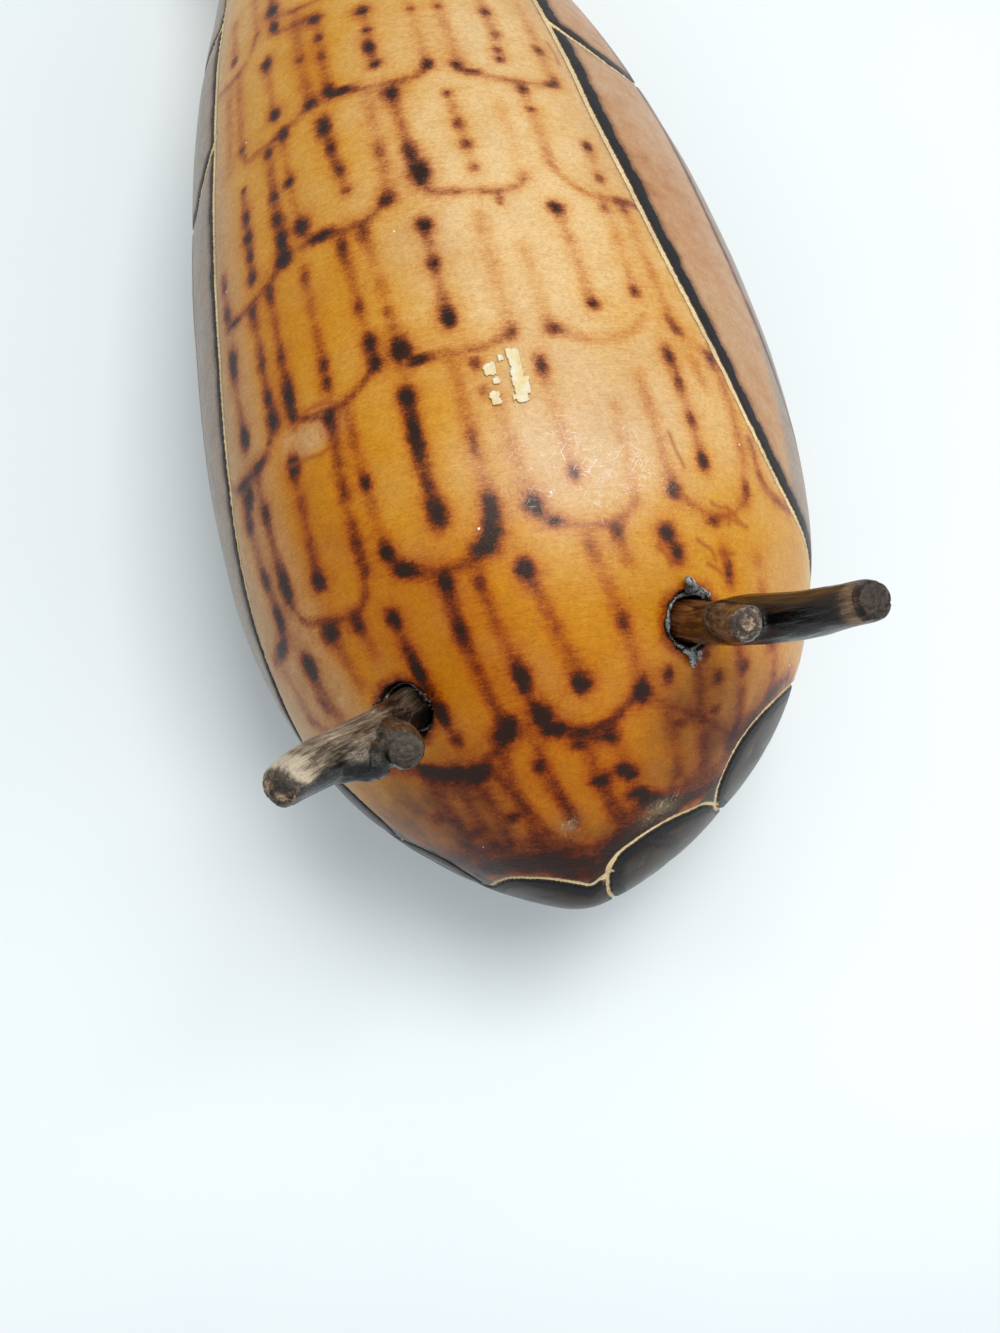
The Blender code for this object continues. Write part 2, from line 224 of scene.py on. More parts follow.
# Burnt lines on the belly: half-width in millimetres, heat, and the points. Feather sides and quills first,
# then the curved hems at the feathers' tips, row by row from the neck to the tail.
BELLY_LINES = (
    (1.5, 0.30, ((-45.5, 176), (-45, 165))),
    (1.6, 0.24, ((-37, 178), (-36, 167))),
    (1.4, 0.30, ((-30.5, 176), (-31, 166))),
    (1.7, 0.34, ((-24.3, 166), (-24.6, 153), (-23.6, 143))),
    (1.3, 0.26, ((-33.6, 157), (-32.8, 144))),
    (1.4, 0.30, ((-43, 160), (-43, 141))),
    (1.6, 0.22, ((-47, 158), (-47.5, 138))),
    (1.3, 0.34, ((-19.4, 163), (-19.2, 142))),
    (1.3, 0.30, ((-8.1, 161), (-8.5, 145))),
    (1.3, 0.18, ((2.3, 160), (2.1, 143))),
    (1.4, 0.22, ((8.7, 159), (8.5, 143))),
    (1.3, 0.24, ((19, 160), (18, 143))),
    (1.3, 0.20, ((28.3, 160), (27.4, 139))),
    (1.4, 0.46, ((-43.4, 130), (-43.4, 120), (-43.5, 110))),
    (1.5, 0.42, ((-35.2, 135), (-35, 122), (-34.6, 110))),
    (1.3, 0.28, ((-31, 137), (-30.6, 124), (-29.6, 116))),
    (1.3, 0.40, ((-21.4, 135), (-20.6, 128), (-19.3, 118))),
    (1.6, 0.26, ((-11.6, 138), (-11.2, 124), (-11.6, 114))),
    (1.4, 0.38, ((-6.4, 137), (-6, 126), (-5, 118))),
    (1.2, 0.22, ((4.2, 135), (4.7, 126), (5, 116))),
    (1.4, 0.12, ((13.6, 130), (13.6, 114))),
    (1.3, 0.24, ((19.6, 136), (19.8, 118))),
    (1.2, 0.20, ((29, 123), (29, 114))),
    (1.4, 0.34, ((-53, 117), (-53, 106))),
    (1.4, 0.38, ((-53, 99), (-53, 82))),
    (1.4, 0.46, ((-44.6, 105), (-43.9, 94), (-43.8, 80))),
    (1.3, 0.46, ((-39.3, 106), (-38.8, 94), (-38.8, 80))),
    (1.3, 0.36, ((-30.6, 106), (-30, 92), (-30, 81))),
    (1.3, 0.34, ((-21.9, 109), (-21, 96), (-20.2, 82))),
    (1.4, 0.26, ((-17.2, 109), (-16.2, 97), (-15.4, 86))),
    (1.2, 0.34, ((-6.3, 107), (-6.1, 96), (-5.8, 86))),
    (1.7, 0.18, ((3.4, 106), (4.1, 84))),
    (1.6, 0.14, ((9.8, 99), (10.6, 85))),
    (1.3, 0.28, ((18, 107), (18.8, 97), (19.5, 87))),
    (1.3, 0.16, ((28.2, 109), (28.4, 90))),
    (1.3, 0.20, ((32.2, 109), (33.2, 97), (34.8, 86))),
    (1.7, 0.34, ((-58.2, 70), (-58.4, 60), (-59, 51))),
    (1.5, 0.48, ((-51.6, 76), (-52, 66), (-53, 53))),
    (1.5, 0.44, ((-41.2, 72), (-41.8, 62), (-43.5, 52))),
    (1.5, 0.56, ((-30.4, 77), (-31.3, 68), (-32, 58), (-32.3, 50))),
    (1.4, 0.34, ((-27, 78), (-27, 62), (-26.8, 51))),
    (1.3, 0.78, ((-15.7, 75.5), (-15.8, 65), (-15.4, 53))),
    (1.6, 0.28, ((-6.8, 79), (-6.4, 68), (-5.7, 54))),
    (1.6, 0.22, ((-0.6, 71), (0.2, 62), (1.4, 54))),
    (1.4, 0.18, ((7.6, 77), (8.8, 66), (10, 57))),
    (1.5, 0.16, ((19.6, 68), (20.6, 52))),
    (1.4, 0.24, ((25, 74), (27, 62), (28.6, 54))),
    (1.3, 0.36, ((32, 80), (33.6, 70), (36, 59))),
    (1.6, 0.26, ((44, 77), (46, 64), (46.2, 55))),
    (1.4, 0.24, ((37.5, 79), (39, 74))),
    (1.6, 0.30, ((-68, 44), (-68, 36))),
    (1.6, 0.38, ((-57.4, 43), (-57.6, 34), (-57, 27))),
    (1.6, 0.30, ((-46, 44), (-45.4, 35))),
    (1.5, 0.34, ((-38.4, 44), (-37.6, 38))),
    (1.4, 0.60, ((-30.2, 42), (-29.9, 34), (-29.6, 27))),
    (1.5, 0.48, ((-17.4, 43), (-17.2, 35), (-14.8, 22))),
    (1.5, 0.34, ((-10.8, 44), (-9.6, 36), (-7.4, 29))),
    (1.5, 0.44, ((-2, 43), (1, 37), (3.2, 32), (6, 27))),
    (1.6, 0.36, ((11, 46), (13.6, 40), (17.4, 33), (21.4, 26))),
    (1.4, 0.30, ((16, 48), (18.4, 43))),
    (1.5, 0.44, ((26, 48), (28.8, 43.5))),
    (1.4, 0.34, ((40, 46), (42.5, 41))),
    (1.6, 0.30, ((50, 46), (54, 40), (60, 34))),
    (1.3, 0.50, ((-9, 16.8), (-7.6, 14.2), (-4, 11.6), (-1, 9.4))),
    (1.5, 0.34, ((5, 19.4), (8, 16.2), (12, 12.6), (18, 9.4))),
    (1.5, 0.34, ((13, 20.4), (17, 17.2), (24, 13.4))),
    (1.5, 0.40, ((-17, 21), (-19, 16.4), (-20, 11.6), (-22, 7.4))),
    (1.6, 0.36, ((-30, 17), (-31, 12.4), (-34, 8.6))),
    (1.8, 0.42, ((-44, 19), (-48, 14.4), (-56, 10.4))),
    (1.8, 0.30, ((-37, 17), (-40, 12.6), (-45, 8.8))),
    (1.6, 0.40, ((36, 29), (40, 24), (46, 19.4), (52, 16))),
    (1.6, 0.44, ((47, 33), (52, 28), (57, 23), (60, 19.6))),
    (1.8, 0.36, ((58, 38), (64, 33), (68, 29))),
    (1.3, 0.30, ((30, 22), (36, 18), (42, 14.6))),
    (1.8, 1.10, ((-80, 8.0), (-62, 7.3), (-45, 6.5), (-27, 5.5), (-10, 4.7), (4, 4.4))),
    (2.6, 0.50, ((-80, 10.4), (-62, 9.6), (-45, 8.6), (-27, 7.4), (-10, 6.4), (14, 5.6), (26, 7.0))),
    (1.7, 1.05, ((20, 5.2), (28, 7.0), (36, 8.8), (45, 10.5), (54, 12.0), (62, 13.6), (67, 15.2))),
    (2.4, 0.44, ((26, 9.4), (36, 11.2), (48, 13.2), (60, 16.2), (62, 21), (66, 26), (76, 32.4))),
    (1.0, 0.80, ((64, 22.4), (67.4, 26.4), (74, 30.6), (82, 34))),
    # Hems.
    (0.9, 0.34, ((-51, 160), (-44, 160.3), (-39, 162.6), (-36.4, 167))),
    (0.9, 0.46, ((-31.2, 167), (-29.6, 163.8), (-25, 163.2), (-20, 163.2))),
    (0.9, 0.40, ((-42.5, 139), (-41, 136.8), (-36, 137), (-30, 138), (-26, 139.6), (-23, 141.4))),
    (0.9, 0.46, ((-19.2, 143), (-17, 140.9), (-12, 139.8), (-7, 139.4), (-1, 139.8), (2.2, 142.2))),
    (0.9, 0.38, ((7.6, 142), (10, 139.4), (15, 137.8), (21, 137), (26.6, 137.3), (28.2, 139.5))),
    (0.9, 0.44, ((-53.2, 108), (-51.4, 105.8), (-46, 106), (-40, 107.2), (-36, 109.4))),
    (0.9, 0.48, ((-29.8, 116), (-28, 111.8), (-24, 110.4), (-18, 110), (-13.6, 111.8), (-11.4, 115))),
    (0.9, 0.40, ((-5, 115), (-3.4, 112.6), (2, 111.7), (8, 111), (12, 111.8), (14, 114))),
    (0.8, 0.34, ((19.8, 117), (22, 113), (26, 110.8), (31, 110.5), (37, 110))),
    (1.0, 0.46, ((-62, 78), (-60, 76.3), (-54, 75.6), (-49, 76), (-45, 79.4))),
    (0.7, 0.56, ((-38.8, 80), (-36, 78.5), (-30, 77.4), (-25, 78.6), (-20.6, 81.4))),
    (0.9, 0.34, ((-15, 83), (-12.6, 80.8), (-7, 80.4), (0, 80.6), (4.4, 82.8))),
    (0.9, 0.24, ((11, 84), (14.4, 81), (20, 80.2), (25, 81.8), (28.6, 85))),
    (0.9, 0.34, ((34, 86), (36.6, 83.4), (40, 81.6), (44.4, 80.6))),
    (1.2, 0.50, ((-70, 47.4), (-66, 46.6), (-62, 47.6), (-59.4, 50.6))),
    (0.9, 0.46, ((-53.6, 52), (-51.4, 47.6), (-45, 45.8), (-39, 44.6), (-34.6, 46), (-32.4, 50))),
    (1.1, 0.56, ((-26.8, 51.6), (-24.4, 47.6), (-19, 45.8), (-13, 45.8), (-8.4, 47.4), (-5.7, 52.6))),
    (0.9, 0.34, ((1.6, 54), (3.4, 51), (7, 49.2), (13, 48.6), (18, 49.6), (20.6, 52))),
    (0.9, 0.30, ((28.6, 56), (31, 53), (36, 51.4), (41, 51.6), (45, 54))),
    (1.2, 0.50, ((49.4, 66), (51, 60.4), (55.6, 57.8), (62, 57.4))),
    (0.95, 0.95, ((-46, 22.2), (-42, 20.4), (-38, 18.9), (-34, 18.4))),
    (1.8, 1.40, ((28, 5.7), (33, 6.7), (38, 7.8), (44, 9.2), (50, 10.4))),
    (1.9, 1.40, ((-22, 4.1), (-10, 3.4), (2, 3.1), (12, 3.2), (22, 4.2), (29, 5.6))),
    (1.2, 0.90, ((-64, 6.6), (-46, 5.4), (-30, 4.6), (-20, 4.4))),
    (1.2, 0.45, ((-24, 18), (-20, 13), (-15, 8.6))),
    (1.1, 0.35, ((-8, 19), (-5, 14), (0, 9))),
    (1.3, 0.40, ((12, 13), (20, 10), (26, 8))),
    (1.0, 0.60, ((-27, 18.4), (-23, 19.2), (-18, 20.2), (-14, 22))),
    (1.1, 0.72, ((-8, 29), (-6, 24.6), (-3.4, 21.4), (2, 20.3), (9, 20.3), (15, 21.4), (20, 24.2))),
    (1.1, 0.36, ((22, 24.6), (28, 23.2), (38, 22.2), (50, 21.2), (60, 20.4))),
    (1.3, 0.50, ((4, 19.6), (9, 19.2), (13, 19.6))),
    (2.0, 0.50, ((-78, 33), (-68, 28), (-58, 24.4), (-48, 22))),
    (1.2, 0.40, ((-70, 36), (-62, 30), (-55, 25))),
)

# Thin cracks and scores in the varnish, reddish brown.
CRACKS = (
    ((37, 53), (39, 52.6), (41, 52.8), (43.5, 51.6), (45, 50.8)),
    ((38.4, 50.8), (40.4, 51.4), (43, 50.9), (46.4, 50.6)),
    ((41, 53), (41.6, 51.4), (41.2, 50.2)),
    ((24.4, 45.2), (26.2, 44.2), (28, 43.4), (30, 43)),
    ((25, 46), (25.8, 44.6), (27.4, 42.6)),
    ((33.4, 46.8), (35.4, 46), (37, 45.4), (38, 44)),
    ((39, 45.6), (41, 45.4), (43, 45.8)),
    ((36, 43.4), (38.4, 42.8), (40, 42.2)),
    ((-43, 72.2), (-38, 71.6), (-34, 71), (-31.4, 71.8), (-29.4, 74), (-28.6, 76.4)),
    ((-39, 77.6), (-36, 79.4), (-31, 79.4), (-28.4, 77.4)),
    ((31, 150), (31.6, 147), (31.2, 144)),
    ((29, 64), (30, 61), (31.4, 58.4)),
)

# Dabs where the hot tip rested: angle, station, half-length along the gourd, half-width, heat.
DABS = (
    (-45, 165, 1.0, 1.0, 0.7), (-30.6, 165.4, 1.6, 1.1, 0.7), (-19.6, 162, 1.1, 1.4, 0.85),
    (-8.2, 160, 1.1, 1.6, 0.9), (-33.6, 157, 1.6, 1.5, 0.9), (18.8, 156.5, 1.1, 1.2, 0.75),
    (-19.4, 156.6, 1.0, 0.9, 0.6), (-8.2, 154.4, 0.7, 1.0, 0.65), (8.6, 158, 0.8, 1.0, 0.45),
    (2.4, 158, 0.9, 1.0, 0.35), (-24.5, 153, 1.2, 1.1, 0.45), (-8.6, 150, 2.0, 1.2, 0.85),
    (-19.4, 151.5, 0.8, 0.9, 0.5), (19, 150, 1.0, 1.0, 0.42), (-8.2, 145, 0.9, 1.2, 0.85),
    (27.6, 147, 1.2, 1.2, 0.6), (17.8, 145.6, 0.9, 1.1, 0.55), (17.2, 143, 0.9, 0.9, 0.65),
    (-32.6, 142.8, 1.4, 1.5, 0.95), (2.2, 142.4, 1.3, 1.1, 0.72), (-23.6, 140.8, 1.3, 1.5, 0.85),
    (-19, 142, 1.3, 1.0, 0.75), (-16.2, 140.9, 0.9, 2.2, 1.0), (8, 141.2, 1.1, 1.0, 0.72),
    (10.4, 139.5, 0.7, 1.6, 0.6), (27.2, 137.6, 0.8, 1.5, 0.62), (-43, 140.6, 0.9, 1.1, 0.55),
    (-6.4, 137, 1.9, 1.6, 0.9), (-31, 137, 1.6, 1.2, 0.85), (-35.2, 135, 0.9, 0.9, 0.8),
    (-21.5, 134, 2.6, 1.5, 0.85), (19.6, 135, 1.3, 1.1, 0.62), (4.2, 134.6, 0.6, 0.9, 0.6),
    (-43.3, 131, 0.6, 0.8, 0.6), (-20.7, 128.6, 1.3, 0.9, 0.75), (19.6, 130, 0.7, 1.0, 0.5),
    (-30.9, 125.6, 1.1, 1.2, 0.85), (4.6, 127, 1.2, 1.2, 0.55), (-35.1, 124.6, 1.1, 1.0, 0.75),
    (-43.3, 124.6, 1.5, 1.0, 0.65), (-19.5, 123, 1.0, 1.0, 0.6), (29, 122.4, 1.2, 1.0, 0.72),
    (4.9, 122, 0.9, 1.1, 0.7), (-11.3, 124, 1.6, 0.9, 0.35), (-5.8, 122, 2.0, 1.1, 0.6),
    (-43.5, 120, 1.3, 1.4, 1.0), (-35, 119.4, 1.6, 1.3, 0.9), (-19, 118, 0.8, 1.0, 0.5),
    (-4.8, 117.2, 2.7, 1.7, 1.15), (5.1, 116.6, 0.8, 1.2, 0.42), (29, 115, 0.8, 0.9, 0.6),
    (-29.6, 115, 1.7, 1.7, 0.9), (-34.7, 114.4, 3.0, 1.3, 0.8), (-43.3, 115.6, 1.2, 0.9, 0.7),
    (-53, 115, 1.6, 1.2, 0.5), (-11.8, 113, 1.3, 1.6, 0.75), (-34.5, 110.3, 1.3, 1.9, 1.0),
    (-26, 110.8, 1.0, 3.0, 1.0), (-43.6, 111.2, 1.0, 1.5, 0.85), (33, 110.5, 0.6, 2.2, 0.6),
    (-52.9, 109, 1.4, 1.4, 0.55), (-50.4, 105.6, 0.8, 2.2, 0.6), (-22, 106.6, 2.2, 1.1, 0.65),
    (-17.6, 108, 1.8, 1.2, 0.5), (17.9, 107.2, 1.3, 1.4, 0.92), (-6.3, 106, 1.6, 1.4, 0.98),
    (31.8, 108.6, 0.9, 0.9, 0.45), (27.6, 108, 1.2, 1.0, 0.42), (8, 109, 1.3, 0.7, 0.5),
    (-44.7, 104, 1.4, 1.2, 0.65), (-39.2, 105.4, 1.5, 1.0, 0.6), (-30.6, 104, 1.2, 0.9, 0.35),
    (-53, 98.6, 2.8, 1.5, 1.0), (-6.2, 98, 1.4, 1.2, 0.7), (-44, 93, 1.6, 1.1, 0.55),
    (-20.9, 94, 1.6, 0.9, 0.5), (-38.8, 92, 1.8, 1.0, 0.5), (28.5, 90.6, 1.4, 1.0, 0.6),
    (-15.9, 91, 0.8, 0.7, 0.4), (-30, 86, 1.4, 1.1, 0.6), (-30, 82.4, 1.2, 1.0, 0.6),
    (-5.8, 87, 2.1, 1.4, 1.0), (19.6, 87.2, 1.1, 1.2, 0.7), (-20.1, 86.4, 1.5, 1.3, 0.95),
    (-20, 82.6, 1.5, 1.2, 0.95), (-43.9, 86, 1.4, 1.2, 0.7), (-43.8, 81.8, 2.0, 1.6, 0.85),
    (-38.8, 84, 3.2, 1.3, 1.0), (-53, 83, 2.4, 1.5, 0.9), (-15, 83.4, 2.1, 1.8, 1.25),
    (-12.3, 80.5, 0.8, 1.9, 1.0), (11.6, 82.2, 1.2, 1.6, 0.72), (35.6, 84, 1.0, 1.4, 0.5),
    (42.4, 79.6, 1.5, 1.5, 0.6), (4.2, 82, 1.4, 1.0, 0.45), (-57, 75.6, 1.0, 2.4, 0.7),
    (-50, 76.2, 0.9, 2.4, 0.7), (-56.2, 72.4, 2.0, 2.2, 1.0), (-3, 77.6, 1.3, 1.1, 0.6),
    (-31, 76, 1.8, 1.2, 0.75), (8, 75.8, 2.2, 1.0, 0.72), (32.2, 78.2, 1.5, 1.3, 0.65),
    (-15.7, 74.4, 1.6, 1.3, 0.95), (-41, 71.8, 1.8, 1.5, 1.05), (33.2, 73.6, 1.4, 1.0, 0.6),
    (-2.6, 72.6, 1.0, 0.9, 0.42), (-58.2, 68, 1.6, 1.4, 0.6), (-51.8, 67.6, 1.6, 1.1, 0.75),
    (-15.8, 67, 4.4, 1.2, 0.9), (34.4, 67, 1.2, 0.9, 0.5), (-26.9, 63, 1.3, 1.0, 0.85),
    (-6.2, 64, 2.0, 1.0, 0.4), (35.8, 60, 1.6, 1.1, 0.8), (-58.6, 58, 2.6, 1.4, 0.65),
    (-15.3, 54.6, 2.2, 1.6, 1.1), (10, 57, 1.3, 1.1, 0.75), (-53, 55, 3.0, 1.5, 0.95),
    (28.6, 54.2, 1.5, 1.3, 0.75), (-43.6, 52, 1.8, 1.6, 1.0), (-5.6, 53.4, 2.2, 1.3, 0.95),
    (2, 52.6, 1.7, 1.5, 1.1), (-26.7, 51.2, 1.3, 1.4, 0.95), (-59.2, 51.4, 2.2, 1.6, 0.8),
    (5.4, 49.6, 0.9, 1.6, 0.75), (37.4, 50.2, 1.0, 1.6, 0.7), (46.4, 57, 1.8, 1.1, 0.45),
    (-6.6, 49.6, 1.8, 1.5, 1.1), (-8.4, 47.6, 1.4, 2.1, 1.2), (-24.2, 47.6, 1.2, 2.2, 1.15),
    (-64, 47.4, 1.3, 3.2, 0.85), (16.6, 47.6, 1.8, 1.2, 0.62), (26.6, 47.4, 1.3, 1.5, 0.98),
    (29, 44.6, 1.3, 1.2, 0.75), (-17.4, 43.8, 1.8, 1.4, 1.0), (-11, 42.6, 1.2, 0.9, 0.6),
    (-1.8, 43.4, 1.6, 1.4, 1.0), (-46, 43.9, 1.6, 2.2, 1.05), (-38.6, 43, 1.3, 1.3, 0.7),
    (-57, 41.6, 2.4, 2.0, 0.95), (-30.2, 41.4, 1.3, 1.2, 0.98), (41.6, 43, 1.6, 1.0, 0.55),
    (-29.8, 33.6, 3.2, 1.1, 0.75), (-17.3, 36.4, 2.6, 1.2, 0.65), (16.6, 34.2, 1.6, 1.1, 0.6),
    (-7.2, 28.2, 2.4, 1.5, 0.92), (6.5, 26.3, 1.7, 1.6, 1.15), (21.8, 24.8, 1.9, 1.5, 1.1),
    (28.6, 27, 1.5, 1.2, 0.9), (-4.6, 23, 1.7, 1.6, 1.3), (-2.6, 20.9, 1.2, 2.0, 1.3),
    (-15.4, 21.6, 1.4, 2.1, 1.2), (-13.4, 22.8, 1.2, 1.2, 1.0), (-29.4, 17.7, 1.6, 2.3, 1.35),
    (-36, 18.9, 1.2, 2.2, 1.2), (-42, 20.2, 1.2, 2.2, 1.1), (-29.2, 26.4, 2.8, 1.3, 0.95),
    (-28.6, 22.6, 1.6, 1.1, 0.7), (11, 13.8, 1.0, 1.6, 1.15), (18.6, 15.2, 0.9, 1.5, 1.15),
    (21.8, 14.4, 0.8, 1.4, 1.1), (27, 12.2, 0.9, 1.6, 1.2), (31.6, 11.6, 0.9, 1.8, 1.25),
    (37, 11.0, 0.9, 1.8, 1.2), (43, 11.2, 0.9, 1.8, 1.1), (-8.8, 16.6, 1.0, 1.1, 0.8),
    (-25.8, 11.4, 0.9, 1.6, 0.9), (-60, 36, 2.4, 1.4, 0.5), (-24, 5.8, 0.8, 3.0, 1.1),
    (4, 18.4, 0.9, 1.3, 0.6), (14, 19, 0.8, 1.2, 0.6), (43.6, 27.4, 1.3, 1.5, 0.75),
    (46, 23.2, 1.0, 1.2, 0.6), (52, 30, 1.6, 1.2, 0.6), (38, 30.5, 1.4, 1.1, 0.6),
    (35, 20.8, 0.9, 1.4, 0.5), (-85, 12, 3.0, 2.4, 1.1), (-55, 15, 1.4, 2.4, 0.5),
    (-48, 11.4, 1.2, 2.4, 0.55),
)

# The halo of a burnt line reaches further than the line and is fainter.
HALO_REACH = 1.5
HALO_HEAT = 0.30
LINE_HEAT = 0.76
LINE_WIDTH = 0.86
DAB_HEAT = 0.86
DAB_SIZE = 0.92

# Feathers past the last listed row go on towards the neck, in rows of this size.
NECK_ROW_STATIONS = (166.0, 194.0, 220.0)
NECK_ROW_LENGTH = 27.0
NECK_FEATHER_WIDTH = 24.0
NECK_ROW_LIMITS = {166.0: (-34.0, 34.0), 194.0: (-50.0, 36.0), 220.0: (-66.0, 52.0)}

# Deeper amber patches: angle, station, reach in degrees, reach in millimetres, amount.
AMBER_PATCHES = (
    (-42, 60, 15, 15, 0.50),
    (-17, 60, 12, 18, 0.22),
    (-30, 38, 26, 16, 0.34),
    (0, 30, 40, 14, 0.30),
    (-30, 92, 16, 22, 0.26),
    (-48, 95, 14, 30, 0.22),
    (-38, 140, 16, 34, 0.14),
    (-20, 150, 6, 14, 0.26),
    (-10, 74, 20, 8, 0.14),
    (40, 48, 16, 12, 0.20),
    (60, 26, 30, 14, 0.34),
    (10, 12, 60, 12, 0.45),
    (-60, 12, 40, 12, 0.45),
    (8, 95, 22, 30, -0.30),
    (15, 62, 18, 16, -0.34),
    (24, 130, 18, 34, -0.26),
    (-2, 124, 14, 20, -0.12),
    (34, 75, 12, 22, -0.10),
    (45, 100, 14, 20, 0.10),
    (55, 128, 14, 16, 0.12),
    (48, 138, 8, 8, 0.16),
    (46, 112, 8, 8, 0.18),
)


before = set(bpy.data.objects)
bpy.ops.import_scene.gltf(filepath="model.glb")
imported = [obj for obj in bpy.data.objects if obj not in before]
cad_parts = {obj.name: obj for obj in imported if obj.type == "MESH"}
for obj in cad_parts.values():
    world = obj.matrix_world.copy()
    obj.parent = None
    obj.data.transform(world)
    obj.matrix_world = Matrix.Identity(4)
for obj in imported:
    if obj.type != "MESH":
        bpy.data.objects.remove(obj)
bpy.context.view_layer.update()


# ---------------------------------------------------------------- the gourd's shape


def catmull_rom(before, start, end, after, count):
    """So many points of a Catmull-Rom curve, from a span's start and short of its end."""
    bend = 2 * before - 5 * start + 4 * end - after
    twist = 3 * start - before - 3 * end + after
    shares = (i / count for i in range(count))
    return [0.5 * (2 * start + (end - before) * t + bend * t**2 + twist * t**3) for t in shares]


def run_along(line):
    """How far along a line each of its points lies."""
    return np.concatenate([[0], np.cumsum(np.linalg.norm(np.diff(line, axis=0), axis=1))])


def outline_through(points, spans):
    """A smooth curve through the outline's points, with its ends mirrored about the axis."""
    padded = [points[1] * (1, -1), *points, points[-2] * (1, -1)]
    curve = []
    for span in zip(padded, padded[1:], padded[2:], padded[3:]):
        curve += catmull_rom(*span, spans)
    return np.array([*curve, points[-1]])


MERIDIAN = outline_through([np.array(p) for p in GOURD_OUTLINE], 60)
MERIDIAN_ARC = run_along(MERIDIAN)
ARC_LENGTH = float(MERIDIAN_ARC[-1])


def radius_at(station):
    return np.interp(station, MERIDIAN[:, 0], MERIDIAN[:, 1])


def station_at(arc):
    return np.interp(arc, MERIDIAN_ARC, MERIDIAN[:, 0])


def skin_points(stations, radii, degrees):
    turn = np.radians(degrees)
    depth = np.where(np.cos(turn) > 0, 1.0, BACK_FLATNESS)
    return np.stack(
        [
            radii * np.sin(turn) - NECK_BEND * (stations / 100) ** 2,
            stations,
            radii * depth * np.cos(turn),
        ],
        axis=-1,
    )


def on_skin(degrees, station):
    station = np.asarray(station, float)
    return skin_points(station, radius_at(station), np.asarray(degrees, float))


def slope_at(station, step):
    return float(radius_at(station + step) - radius_at(station - step)) / (2 * step)


def way_out(angle, station):
    """The direction straight out of the skin at a place."""
    turn = math.radians(angle)
    outward = np.array([math.sin(turn), -slope_at(station, 1.0), math.cos(turn)])
    return outward / np.linalg.norm(outward)


def lay_down():
    """The matrix from the gourd's own axes, in millimetres, to the frame, in metres, as the solids lie."""
    tilt = math.atan(BACK_FLATNESS * slope_at(REST_STATION, 8.0))
    turn = Matrix.Rotation(tilt, 4, "X")
    lowest = Vector(on_skin(180.0, REST_STATION)) * MM
    shift = -(turn @ lowest) - Vector((0, 0, REST_FLAT_DEPTH * MM))
    return Matrix.Translation(shift) @ turn @ Matrix.Scale(MM, 4)


LAY = lay_down()


def curve_through(points, step, measure):
    """A smooth curve through the points, with a point about every step by the measure given."""
    rows = [np.array(p, float) for p in points]
    padded = [2 * rows[0] - rows[1], *rows, 2 * rows[-1] - rows[-2]]
    curve = []
    for span in zip(padded, padded[1:], padded[2:], padded[3:]):
        count = max(2, int(measure(span[1], span[2]) / step))
        curve += catmull_rom(*span, count)
    return np.array([*curve, rows[-1]])


def smooth_line(points, step=0.4):
    """A line through (angle, station) points: its points on the skin, and their places."""
    places = curve_through(points, step, lambda a, b: np.linalg.norm(on_skin(*b) - on_skin(*a)))
    return on_skin(places[:, 0], np.maximum(places[:, 1], 0.02)), places


class LineField:
    """Distances from places on the skin to a set of lines, signed by side."""

    def __init__(self, lines):
        self.points = np.concatenate(lines)
        self.tangents = np.concatenate([np.gradient(line, axis=0) for line in lines])
        self.run = np.concatenate([run_along(line) for line in lines])
        self.tree = KDTree(len(self.points))
        for i, point in enumerate(self.points):
            self.tree.insert(point, i)
        self.tree.balance()

    def nearest(self, points):
        found = [self.tree.find(point) for point in points]
        return np.array([f[1] for f in found]), np.array([f[2] for f in found])

    def signed(self, points, normals):
        index, distance = self.nearest(points)
        across = np.cross(normals, self.tangents[index])
        side = np.sign(np.einsum("ij,ij->i", across, points - self.points[index]))
        return index, distance * np.where(side == 0, 1, side), distance


GROOVE_LINES = {name: smooth_line(points)[0] for name, (_, points) in GROOVES.items()}
GROOVE_FIELD = LineField(list(GROOVE_LINES.values()))
CRACK_FIELD = LineField([smooth_line(places, 0.3)[0] for places in CRACKS])


def smooth_step(low, high, value):
    t = np.clip((value - low) / (high - low), 0, 1)
    return t * t * (3 - 2 * t)


def base_rings():
    """A coarse net over the whole gourd: arcs, angles and triangles, with a single vertex at either end."""
    around, rings = NET_AROUND, NET_RINGS
    arcs, angles = [0.0], [0.0]
    for i in range(1, rings):
        arcs += [ARC_LENGTH * (i / rings)] * around
        angles += [-180 + 360 * (k + 0.5 * (i % 2)) / around for k in range(around)]
    arcs.append(ARC_LENGTH)
    angles.append(0.0)
    faces = []

    def ring(i, k):
        return 1 + (i - 1) * around + k % around

    last = len(arcs) - 1
    for k in range(around):
        faces.append((0, ring(1, k), ring(1, k + 1)))
        faces.append((last, ring(rings - 1, k + 1), ring(rings - 1, k)))
    for i in range(1, rings - 1):
        for k in range(around):
            a, b = ring(i, k), ring(i, k + 1)
            c, d = ring(i + 1, k), ring(i + 1, k + 1)
            faces += [(a, c, d), (a, d, b)] if i % 2 else [(a, c, b), (b, c, d)]
    return np.array(arcs), np.array(angles), np.array(faces)


